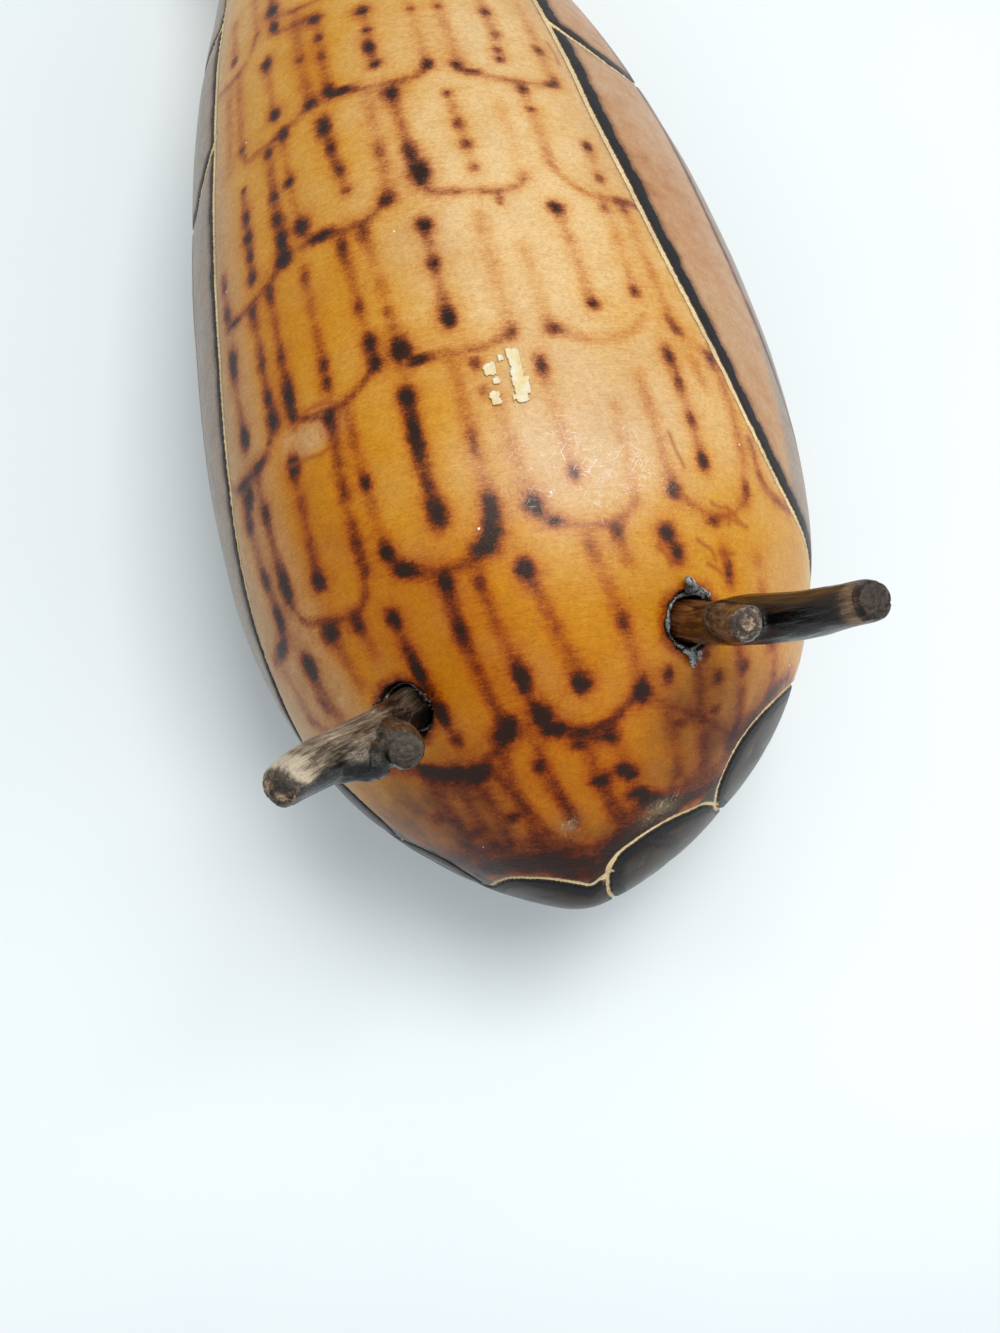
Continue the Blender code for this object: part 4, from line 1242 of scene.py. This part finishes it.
def skin_marks(points, normals, angles, stations, rim):
    """What the shape and the material need to know at each vertex, by name, and the wings alone."""
    groove, groove_side = groove_distances(points, normals)
    char = char_depth(points, normals)
    edges = ("right_wing_edge", "left_wing_edge")
    inside = [inside_loop(edge, points, angles, stations) for edge in edges]
    wing = np.logical_or(*inside).astype(float)
    tail = tail_amount(angles, stations)
    heat = belly_heat(points) * (1 - wing) * (1 - tail)
    heat = np.maximum(heat, wing_heat(points) * np.maximum(wing, tail))
    heat = np.maximum(heat, 1.15 * smooth_step(1.5, 0.1, rim))
    heat = np.maximum(heat, 0.5 * smooth_step(3.2, 0.6, rim))
    cut_width = 1 + 0.75 * smooth_step(38, 60, stations)
    cut_width = cut_width + 1.6 * blob(angles, stations, 26.5, 3.4, 3, 1.6)
    marks = {
        "groove": groove,
        "groove_side": groove_side,
        "cut_width": cut_width,
        "char": char,
        "scorch": heat,
        "wing": np.maximum(wing, tail),
        **stain_and_sheen_marks(points, angles, stations, char, wing, tail),
    }
    return marks, wing


def varnish_marks(points, angles, stations, wing):
    """How deep, thin, smoked or cracked the varnish is, on the finished shape."""
    return {
        "amber": amber_depth(points, angles, stations),
        "tan": tan_amount(points, angles, stations) * (1 - wing),
        "umber": umber_amount(points, angles, stations) * (1 - wing),
        "crack": crack_nearness(points),
        "bare_cut": np.clip(0.88 + 0.25 * spatial_noise(points, 6, 31), 0, 1),
    }


def skin_sink(points, angles, stations, groove, heat):
    """How far each vertex lies under the round outline: gouged, pillowed, dented, scorched and fluted."""
    sink = SKIN_INSET + GROOVE_DEPTH * np.clip(1 - (groove / GROOVE_HALF_WIDTH) ** 2, 0, 1)
    sink = sink + PILLOW_DEPTH * np.exp(-((groove / PILLOW_REACH) ** 2))
    broad_dents = 0.22 * (1 + spatial_noise(points, 14, 21)) * 0.5
    small_dents = 0.10 * (1 + spatial_noise(points, 4.5, 22)) * 0.5
    sink = sink + broad_dents + small_dents
    sink = sink + 0.10 * np.clip(heat, 0, 1)
    stem = smooth_step(267, 270, stations)
    flutes = 0.5 * (1 + np.sin(np.radians(angles) * 5 + stations * 0.25))
    return sink + stem * flutes * 0.45


def build_gourd():
    arcs, angles, faces = fine_net()
    stations = station_at(arcs)
    radii = np.interp(arcs, MERIDIAN_ARC, MERIDIAN[:, 1])
    points = skin_points(stations, radii, angles)
    normals = normals_of(points, faces)
    if np.mean(np.einsum("ij,ij->i", normals, points - points.mean(axis=0))) < 0:
        faces = faces[:, ::-1]
        normals = -normals
    rim, inward = socket_fields(points)
    marks, wing = skin_marks(points, normals, angles, stations, rim)
    sink = skin_sink(points, angles, stations, marks["groove"], marks["scorch"])
    points = points - normals * sink[:, None]
    points = points + inward * (SOCKET_DEPTH * smooth_step(0.35, -0.35, rim))[:, None]

    mesh = bpy.data.meshes.new("gourd_skin")
    mesh.from_pydata(points.tolist(), [], faces.tolist())
    marks["groove"] = np.minimum(marks["groove"], 4)
    marks.update(varnish_marks(points, angles, stations, wing))
    for name, values in marks.items():
        store(mesh, name, values)
    gourd = finished_object("gourd_shell", mesh, shell_material(), "gourd")
    places = vectors_of(gourd.data, "co")
    places[:, 2] = np.maximum(places[:, 2], 0.0)
    put_vertices(gourd.data, places)
    print("gourd triangles", len(faces))


def socket_frame(side):
    """A hole's middle on the skin, the way out of it, and the ways up and across, over the skin."""
    outward = way_out(*SOCKETS[side])
    up = np.array([0.0, 1.0, 0.0]) - outward[1] * outward
    up /= np.linalg.norm(up)
    return on_skin(*SOCKETS[side]), outward, up, np.cross(up, outward)


def remeshed(name, vertices, faces, voxel):
    """The outer surface of closed shapes that may overlap, as one even mesh."""
    mesh = bpy.data.meshes.new(name)
    mesh.from_pydata(vertices.tolist(), [], faces)
    rough = linked(name, mesh)
    modifier = rough.modifiers.new("even", "REMESH")
    modifier.mode = "VOXEL"
    modifier.voxel_size = voxel
    graph = bpy.context.evaluated_depsgraph_get()
    made = bpy.data.meshes.new_from_object(rough.evaluated_get(graph))
    bpy.data.objects.remove(rough)
    bpy.data.meshes.remove(mesh)
    made.name = name
    return made


def vectors_of(mesh, name):
    """The place or the normal of each vertex."""
    flat = np.empty(len(mesh.vertices) * 3, np.float32)
    mesh.vertices.foreach_get(name, flat)
    return flat.reshape(-1, 3).astype(float)


def put_vertices(mesh, points):
    mesh.vertices.foreach_set("co", points.ravel().astype(np.float32))
    mesh.update()


def relax(mesh, rounds):
    """Evens out the steps that a voxel remesh leaves."""
    points = vectors_of(mesh, "co")
    ends = np.empty(len(mesh.edges) * 2, np.int32)
    mesh.edges.foreach_get("vertices", ends)
    a, b = ends.reshape(-1, 2).T
    count = np.bincount(np.concatenate([a, b]), minlength=len(points))[:, None]
    for _ in range(rounds):
        for share in (0.6, -0.52):
            total = np.zeros_like(points)
            np.add.at(total, a, points[b])
            np.add.at(total, b, points[a])
            points += share * (total / count - points)
    put_vertices(mesh, points)


def moving_frames(path):
    """Two directions square to a path at each of its points, turning no more than the path does."""
    tangents = np.gradient(path, axis=0)
    tangents /= np.linalg.norm(tangents, axis=1, keepdims=True)
    first = np.cross(tangents[0], (0.0, 1.0, 0.0))
    sides = []
    for tangent in tangents:
        first = first - (first @ tangent) * tangent
        first /= np.linalg.norm(first)
        sides.append(first)
    sides = np.array(sides)
    return tangents, sides, np.cross(tangents, sides)


def tube(path, radii, around=24):
    """A closed tube: its vertices and faces."""
    _, side, other = moving_frames(path)
    turns = np.arange(around) * 2 * math.pi / around
    rings = (
        path[:, None, :]
        + radii[:, None, None] * np.cos(turns)[None, :, None] * side[:, None, :]
        + radii[:, None, None] * np.sin(turns)[None, :, None] * other[:, None, :]
    )
    vertices = np.concatenate([rings.reshape(-1, 3), path[:1], path[-1:]])
    first_pole, last_pole = len(vertices) - 2, len(vertices) - 1
    last_ring = (len(path) - 1) * around
    faces = []
    for k in range(around):
        nxt = (k + 1) % around
        for ring in range(len(path) - 1):
            at = ring * around
            faces.append((at + k, at + around + k, at + around + nxt, at + nxt))
        faces.append((first_pole, k, nxt))
        faces.append((last_pole, last_ring + nxt, last_ring + k))
    return vertices, faces


def rounded_end(radii, from_tip):
    """Radii that turn in near the tip, as on a sawn end whose edge has been rubbed round."""
    share = np.clip(from_tip / (0.75 * radii), 0, 1)
    return radii * (0.52 + 0.48 * np.sqrt(1 - (1 - share) ** 2))


def twig_line(points):
    """A smooth path and its radii through points with radii, set a little short of the tip."""
    rows = [(*place, radius) for place, radius in points]
    line = curve_through(rows, 0.7, lambda a, b: np.linalg.norm((b - a)[:3]))
    path, radii = line[:, :3], line[:, 3]
    run = run_along(path)
    return path, rounded_end(radii, run[-1] - run) - 0.12, run


def twig_attributes(mesh, side, main, stub):
    """Where each vertex lies along its twig, how near a sawn end, and how far out on that end."""
    points, normals = vectors_of(mesh, "co"), vectors_of(mesh, "normal")
    grain = np.zeros_like(points)
    along = np.zeros(len(points))
    on_stub = np.zeros(len(points))
    best = np.full(len(points), FAR)
    end_face = np.zeros(len(points))
    ring = np.ones(len(points))
    for number, (path, radii, run) in enumerate((main, stub)):
        field = LineField([path])
        index, distance = field.nearest(points)
        tangents, across, other = moving_frames(path)
        offset = points - path[index]
        closeness = distance / radii.max()
        take = closeness < best
        best = np.where(take, closeness, best)
        local = np.stack(
            [
                run[index] / 6.0,
                np.einsum("ij,ij->i", offset, across[index]) / 0.85,
                np.einsum("ij,ij->i", offset, other[index]) / 0.85,
            ],
            axis=1,
        )
        grain[take] = local[take] + 31.0 * number
        along[take] = run[index][take]
        on_stub[take] = number
        axial = (points - path[-1]) @ tangents[-1]
        radial = np.linalg.norm(points - path[-1] - axial[:, None] * tangents[-1], axis=1)
        full = float(radii.max()) * 0.95
        facing = normals @ tangents[-1]
        on_end = smooth_step(-3.0, -1.5, axial) * smooth_step(0.35, 0.8, facing)
        on_end = np.where(radial < full * 1.4, on_end, 0)
        ring = np.where(on_end > end_face, radial / full, ring)
        end_face = np.maximum(end_face, on_end)
    return points, normals, grain, along, on_stub, end_face, ring


def join(shapes):
    """One set of vertices and faces from several."""
    vertices, faces, count = [], [], 0
    for points, polygons in shapes:
        vertices.append(points)
        faces += [tuple(v + count for v in polygon) for polygon in polygons]
        count += len(points)
    return np.concatenate(vertices), faces


def twig_shapes(side, middle, outward):
    """A leg's branch and stub, each a path with its radii and its run, and the mesh round them."""
    foot_radius, branch, stub = TWIGS[side]
    foot = middle - outward * TWIG_FOOT_DEPTH
    shoulder = middle + outward * TWIG_SHOULDER
    shaft = [(place, foot_radius) for place in (foot, middle, shoulder)]
    main = twig_line([*shaft, *branch])
    start = np.array(stub[0][0], float)
    inside = start + (shoulder - start) * 0.4
    side_twig = twig_line([(inside, stub[0][1]), *stub])
    lines = [main, side_twig]
    if side in TWIG_WEBS:
        lines.append(twig_line(TWIG_WEBS[side]))
    vertices, faces = join([tube(path, radii) for path, radii, _ in lines])
    mesh = remeshed(f"{side}_twig", vertices, faces, 0.36)
    relax(mesh, 7)
    return main, side_twig, mesh


def wear_twig(mesh, points, normals, grain, end_face, ring):
    """Sinks the bark in along its grain, and dishes and cracks the sawn ends."""
    fibres = np.array([noise.noise(Vector(g)) for g in grain])
    coarse = np.array([noise.noise(Vector(g) * 0.33 + Vector((9, 9, 9))) for g in grain])
    dents = 0.16 * (0.5 + fibres) + 0.34 * (0.5 + coarse)
    cracks = np.abs(spatial_noise(points, 0.9, 51))
    dish = 0.45 * smooth_step(1.0, 0.55, ring) + 0.35 * smooth_step(0.16, 0.02, cracks)
    sink = np.where(end_face > 0, dents * (1 - end_face) + dish * end_face, dents)
    put_vertices(mesh, points - normals * np.clip(sink, 0, None)[:, None])


def left_tones(normals, toward_tail, blotch, along, from_end):
    """The left leg: pale fibres on the faces away from the tail, darker on the faces towards the tail and
    down. Tone and warmth of branch, then of stub.
    """
    tone = 0.62 - 0.62 * smooth_step(0.0, 0.45, toward_tail + 0.22 * blotch)
    tone = tone - 0.22 * smooth_step(26, 17, along) + 0.30 * smooth_step(7, 3.5, from_end)
    stub_tone = 0.40 + 0.3 * blotch - 0.36 * smooth_step(0.0, 0.5, toward_tail)
    return tone, 0.15 * smooth_step(30, 18, along), stub_tone, 0.1


def right_tones(normals, toward_tail, blotch, along, from_end):
    """The right leg: brown at the foot, then charred, and grey by the tip."""
    below = smooth_step(-1.7, -0.9, toward_tail + normals[:, 0] * 0.2 + 0.4 * blotch)
    charred = smooth_step(19, 24, along) * smooth_step(4.5, 7.5, from_end + 2 * blotch)
    tone = 0.49 - 0.50 * charred * below
    tone = tone + (0.10 + 0.35 * blotch) * smooth_step(7.5, 5, from_end)
    tone = tone - 0.40 * smooth_step(3.2, 1.6, from_end)
    tone = np.minimum(tone, 0.60 - 0.55 * charred)
    warm = smooth_step(27, 19, along) + 0.45 * smooth_step(9, 6, from_end)
    shade = smooth_step(0.1, 0.6, toward_tail + normals[:, 0] * 0.4)
    return tone, warm, 0.48 + 0.3 * blotch - 0.40 * shade, 0.35


TWIG_TONES = {"left": left_tones, "right": right_tones}
BRIGHT_FACES = {"left": (0.7, 0.15), "right": (0.0, 1.0)}  # on the branch's sawn end and on the stub's


def build_twig(side, material):
    middle, outward, _, _ = socket_frame(side)
    main, side_twig, mesh = twig_shapes(side, middle, outward)
    points, normals, grain, along, on_stub, end_face, ring = twig_attributes(mesh, side, main, side_twig)
    wear_twig(mesh, points, normals, grain, end_face, ring)

    toward_tail = -normals[:, 1] * 0.9 - normals[:, 2] * 0.15
    blotch = 0.5 * spatial_noise(points, 6.0, 61) + 0.3 * spatial_noise(points, 2.4, 62)
    from_end = main[2][-1] - along
    tones = TWIG_TONES[side](normals, toward_tail, blotch, along, from_end)
    tone, warm, stub_tone, stub_warm = tones
    tone = np.where(on_stub > 0, stub_tone, tone + 0.22 * blotch)
    warm = np.where(on_stub > 0, stub_warm, warm + 0.2 * blotch)
    on_branch_end, on_stub_end = BRIGHT_FACES[side]
    store(mesh, "bright_face", np.where(on_stub > 0, on_stub_end, on_branch_end))
    store(mesh, "tone", np.clip(tone, 0, 1))
    store(mesh, "warm", np.clip(warm, 0, 1))
    store(mesh, "sawn", end_face)
    store(mesh, "ring", np.clip(ring, 0, 1.2))
    layer = mesh.attributes.new("grain", "FLOAT_VECTOR", "POINT")
    layer.data.foreach_set("vector", grain.ravel().astype(np.float32))
    finished_object(f"{side}_twig", mesh, material, f"{side}_twig_leg")


def twig_material():
    """Varnished twig: dark bark with pale fibre streaks, brown or charred black in places, and sawn ends
    with blotched wood, dark halfway out and pale at the rim."""
    look = Look("varnished_twig")
    grain = look.mark("grain", "Vector")
    fibre = look.noise_at(grain, 4.0, 0.62, 0.3)
    fine_grain = look.node("VectorMath", {0: grain, "Scale": 3.1}, operation="SCALE").outputs[0]
    fine = look.noise_at(fine_grain, 3.0, 0.6)
    blotch = look.noise((0.35, 0.35, 0.35), 3.0)
    speck = look.noise((1.7, 1.7, 1.7), 2.0)

    tone = look.sway(fibre, 0.9, look.mark("tone"))
    tone = look.sway(fine, 0.5, tone)
    bark = look.ramp(
        tone,
        (0.10, 0.003, 0.003, 0.003),
        (0.32, 0.012, 0.010, 0.008),
        (0.50, 0.060, 0.045, 0.031),
        (0.68, 0.21, 0.165, 0.115),
        (0.90, 0.50, 0.42, 0.30),
    )
    warm_bark = look.ramp(
        tone,
        (0.15, 0.010, 0.004, 0.002),
        (0.45, 0.062, 0.018, 0.004),
        (0.62, 0.17, 0.060, 0.012),
        (0.90, 0.36, 0.18, 0.06),
    )
    colour = look.mix(look.mark("warm"), bark, warm_bark)
    rings = look.sway(blotch, 1.6, look.mark("ring"))
    rings = look.sway(speck, 0.7, rings)
    wood = look.ramp(
        rings,
        (0.12, 0.16, 0.085, 0.050),
        (0.22, 0.62, 0.43, 0.28),
        (0.42, 0.42, 0.26, 0.16),
        (0.52, 0.040, 0.024, 0.018),
        (0.64, 0.055, 0.040, 0.030),
        (0.78, 0.46, 0.38, 0.27),
    )
    wood = look.mix(look.mark("bright_face"), (0.040, 0.028, 0.020), wood)
    patchy = look.mix(look.fade(blotch, 0.42, 0.60), wood, (0.045, 0.032, 0.025))
    colour = look.layer(colour, look.mark("sawn"), 0.9, patchy)
    rough = look.add(blotch, 0.12, look.add(look.fade(tone, 0.2, 0.7), 0.30, 0.10))
    rough = look.add(look.mark("sawn"), 0.12, rough)
    relief = look.add(fibre, 1.0, look.times(fine, 0.6))
    look.shader.inputs["Specular IOR Level"].default_value = TWIG_SPECULAR
    return look.finished(colour, rough, relief, 0.5, 0.4)


def glue_material():
    """Set hot glue: milky, glossy and part clear, with dark specks and dirt in it."""
    look = Look("set_glue")
    cloud = look.noise((0.5, 0.5, 0.5), 3.0)
    speck = look.noise((2.2, 2.2, 2.2), 2.0)
    milky = look.ramp(cloud, (0.35, 0.09, 0.09, 0.08), (0.65, 0.46, 0.49, 0.48))
    colour = look.mix(look.fade(speck, 0.54, 0.62), milky, (0.035, 0.03, 0.025))
    colour = look.mix(look.mark("dirt"), colour, (0.070, 0.030, 0.010))
    look.tree.links.new(look.fade(cloud, 0.85, 0.20), look.shader.inputs["Transmission Weight"])
    return look.finished(colour, look.add(cloud, 0.2, 0.08), speck, 0.3, 0.2)


def ball(middle, radius, squash, direction):
    """A small closed ball, flattened along a direction."""
    bm = bmesh.new()
    bmesh.ops.create_icosphere(bm, subdivisions=2, radius=radius)
    points = np.array([vertex.co for vertex in bm.verts])
    faces = [tuple(vertex.index for vertex in face.verts) for face in bm.faces]
    bm.free()
    height = points @ direction
    points = points - (height * (1 - squash))[:, None] * direction
    return points + middle, faces


def build_glue(side, material):
    middle, outward, up, across = socket_frame(side)

    def place_of(bearing, distance, height):
        turn = math.radians(bearing)
        return middle + outward * height + (up * math.cos(turn) + across * math.sin(turn)) * distance

    film = curve_through(GLUE_FILM[side], 4.0, lambda a, b: abs(b[0] - a[0]))
    ring = np.array([place_of(*row[:3]) for row in film])
    shapes = [tube(ring, film[:, 3], 10)]
    for *place, radius in GLUE_LUMPS[side]:
        shapes.append(ball(place_of(*place), radius, 0.8, outward))
    mesh = remeshed(f"{side}_glue", *join(shapes), 0.17)
    relax(mesh, 3)
    points, normals = vectors_of(mesh, "co"), vectors_of(mesh, "normal")
    lumps = 0.10 * spatial_noise(points, 1.1, 71) + 0.05 * spatial_noise(points, 0.45, 72)
    put_vertices(mesh, points + normals * lumps[:, None])
    dirt = 0.5 * (1 + spatial_noise(points, 2.0, 73)) + GLUE_DIRT[side]
    store(mesh, "dirt", np.clip(dirt, 0, 1))
    finished_object(f"{side}_glue", mesh, material, f"{side}_glue_ring")


RESIDUE_STEP = 0.2
RESIDUE_THICKNESS = 0.16

# What is left of a sticker: middle angle and station, and half-width and half-length in millimetres.
RESIDUE_FLAKES = (
    (3.6, 74.4, 1.1, 4.9),
    (4.5, 72.2, 0.95, 1.7),
    (2.4, 70.4, 0.6, 0.6),
    (-0.9, 75.9, 0.95, 1.15),
    (-0.3, 73.9, 0.65, 0.6),
    (-0.9, 70.7, 0.85, 1.3),
    (1.4, 77.6, 0.5, 0.5),
)


def residue_sheet():
    """A grid on the skin where the sticker was: its points, how far inside a flake each is, its shape."""
    middle_angle, middle_station = 2.0, 74.0
    millimetres_a_degree = float(radius_at(middle_station)) * math.pi / 180
    across, along = np.arange(-6, 6, RESIDUE_STEP), np.arange(-7, 7, RESIDUE_STEP)
    u, v = np.meshgrid(across, along, indexing="ij")
    angles = (middle_angle + u / millimetres_a_degree).ravel()
    stations = (middle_station + v).ravel()
    points = on_skin(angles, stations)
    depth = np.full(len(points), -9.0)
    for angle, station, half_width, half_length in RESIDUE_FLAKES:
        beyond_side = np.abs((angles - angle) * millimetres_a_degree) - half_width
        beyond_end = np.abs(stations - station) - half_length
        depth = np.maximum(depth, -np.maximum(beyond_side, beyond_end))
    depth = depth + 0.45 * spatial_noise(points, 1.3, 81) + 0.20 * spatial_noise(points, 0.5, 82)
    outward = points - (on_skin(0, middle_station) - np.array([0, 0, radius_at(middle_station)]))
    outward[:, 1] = 0
    outward /= np.linalg.norm(outward, axis=1, keepdims=True)
    curl = 0.16 * smooth_step(0.5, 0.0, depth) + 0.10 * (1 + spatial_noise(points, 1.6, 83))
    return points + outward * (curl + 0.02)[:, None], depth, u.shape


def residue_mesh():
    """The cells of the grid that lie inside a flake, thickened."""
    points, depth, (rows, columns) = residue_sheet()
    bm = bmesh.new()
    made = {}

    def vertex(i, j):
        key = i * columns + j
        if key not in made:
            made[key] = bm.verts.new(points[key])
        return made[key]

    inside = depth.reshape(rows, columns) > 0
    for i in range(rows - 1):
        for j in range(columns - 1):
            if inside[i : i + 2, j : j + 2].all():
                corners = ((i, j), (i + 1, j), (i + 1, j + 1), (i, j + 1))
                bm.faces.new([vertex(*corner) for corner in corners])
    bmesh.ops.recalc_face_normals(bm, faces=bm.faces)
    bmesh.ops.solidify(bm, geom=list(bm.faces), thickness=RESIDUE_THICKNESS)
    mesh = bpy.data.meshes.new("label_residue")
    bm.to_mesh(mesh)
    bm.free()
    relax(mesh, 1)
    return mesh


def build_residue():
    """Torn bits of a sticker's backing, thin and curled at the edges."""
    look = Look("torn_label_backing")
    patch = look.noise((0.5, 0.35, 0.5), 3.0)
    fine = look.noise((2.5, 2.5, 2.5), 3.0)
    tint = look.ramp(patch, (0.35, 0.72, 0.66, 0.52), (0.6, 0.70, 0.54, 0.25))
    tint = look.mix(look.fade(fine, 0.60, 0.75), tint, (0.62, 0.47, 0.24))
    material = look.finished(tint, look.add(fine, 0.3, 0.3), fine, 0.4, 0.15)
    finished_object("label_residue", residue_mesh(), material)


# ---------------------------------------------------------------- stage


def build_floor():
    """A pale table, with painted shade that makes it a little darker far beyond the tail, where the light
    falls off.
    """
    bm = bmesh.new()
    bmesh.ops.create_grid(bm, x_segments=2, y_segments=2, size=3.0)
    mesh = bpy.data.meshes.new("floor")
    bm.to_mesh(mesh)
    bm.free()
    look = Look("pale_table")
    cloud = look.noise((0.01, 0.01, 0.01), 3.0)
    tint = look.ramp(cloud, (0.3, 0.80, 0.85, 0.865), (0.7, 0.82, 0.865, 0.875))
    along = look.node("SeparateXYZ", {0: look.place()}).outputs["Y"]
    # Painted shade: the table darkens far beyond the tail, standing in for the light falling off there.
    tint = look.layer(tint, look.fade(along, -0.13, -0.25), 0.34, (0.30, 0.36, 0.40))
    look.tree.links.new(tint, look.shader.inputs["Base Color"])
    look.shader.inputs["Roughness"].default_value = FLOOR_ROUGHNESS
    mesh.materials.append(look.material)
    linked("floor", mesh)


def area_light(name, place, target, size, power, colour):
    light = bpy.data.lights.new(name, "AREA")
    light.shape = "RECTANGLE"
    light.size, light.size_y = size
    light.energy = power
    light.color = colour
    lamp = linked(name, light)
    lamp.location = place
    lamp.rotation_euler = (Vector(target) - Vector(place)).to_track_quat("-Z", "Y").to_euler()


def build_light():
    world = bpy.data.worlds.new("studio")
    world.use_nodes = True
    background = world.node_tree.nodes["Background"]
    background.inputs["Color"].default_value = (0.90, 0.96, 1.0, 1.0)
    background.inputs["Strength"].default_value = 0.67
    bpy.context.scene.world = world
    area_light("softbox", (0.24, -0.03, 1.08), (0, 0, 0.03), (0.42, 0.42), 6.5, (1.0, 0.99, 0.97))
    area_light("window", (0.92, -0.60, 0.72), (0, 0, 0.03), (0.9, 0.9), 2.6, (1.0, 0.99, 0.98))
    bpy.context.scene.view_settings.view_transform = "Standard"


def build_camera():
    """The camera, placed in the gourd's own axes and carried into the frame with them."""
    focal_length = 49.96
    place = Vector((-8.39, -79.35, 312.5))
    tip, roll = math.radians(22.0), math.radians(-8.9)
    turn = Matrix.Rotation(tip, 3, "X") @ Matrix.Rotation(roll, 3, "Z")
    data = bpy.data.cameras.new("camera")
    data.lens = focal_length
    data.sensor_width = 36.0
    data.clip_start = 0.01
    camera = linked("camera", data)
    tilt = LAY.to_3x3().normalized()
    camera.matrix_world = Matrix.Translation(LAY @ place) @ (tilt @ turn).to_4x4()
    bpy.context.scene.camera = camera


build_camera()
build_light()
build_floor()
build_gourd()
twig_bark = twig_material()
set_glue = glue_material()
for side in ("left", "right"):
    build_twig(side, twig_bark)
    build_glue(side, set_glue)
build_residue()
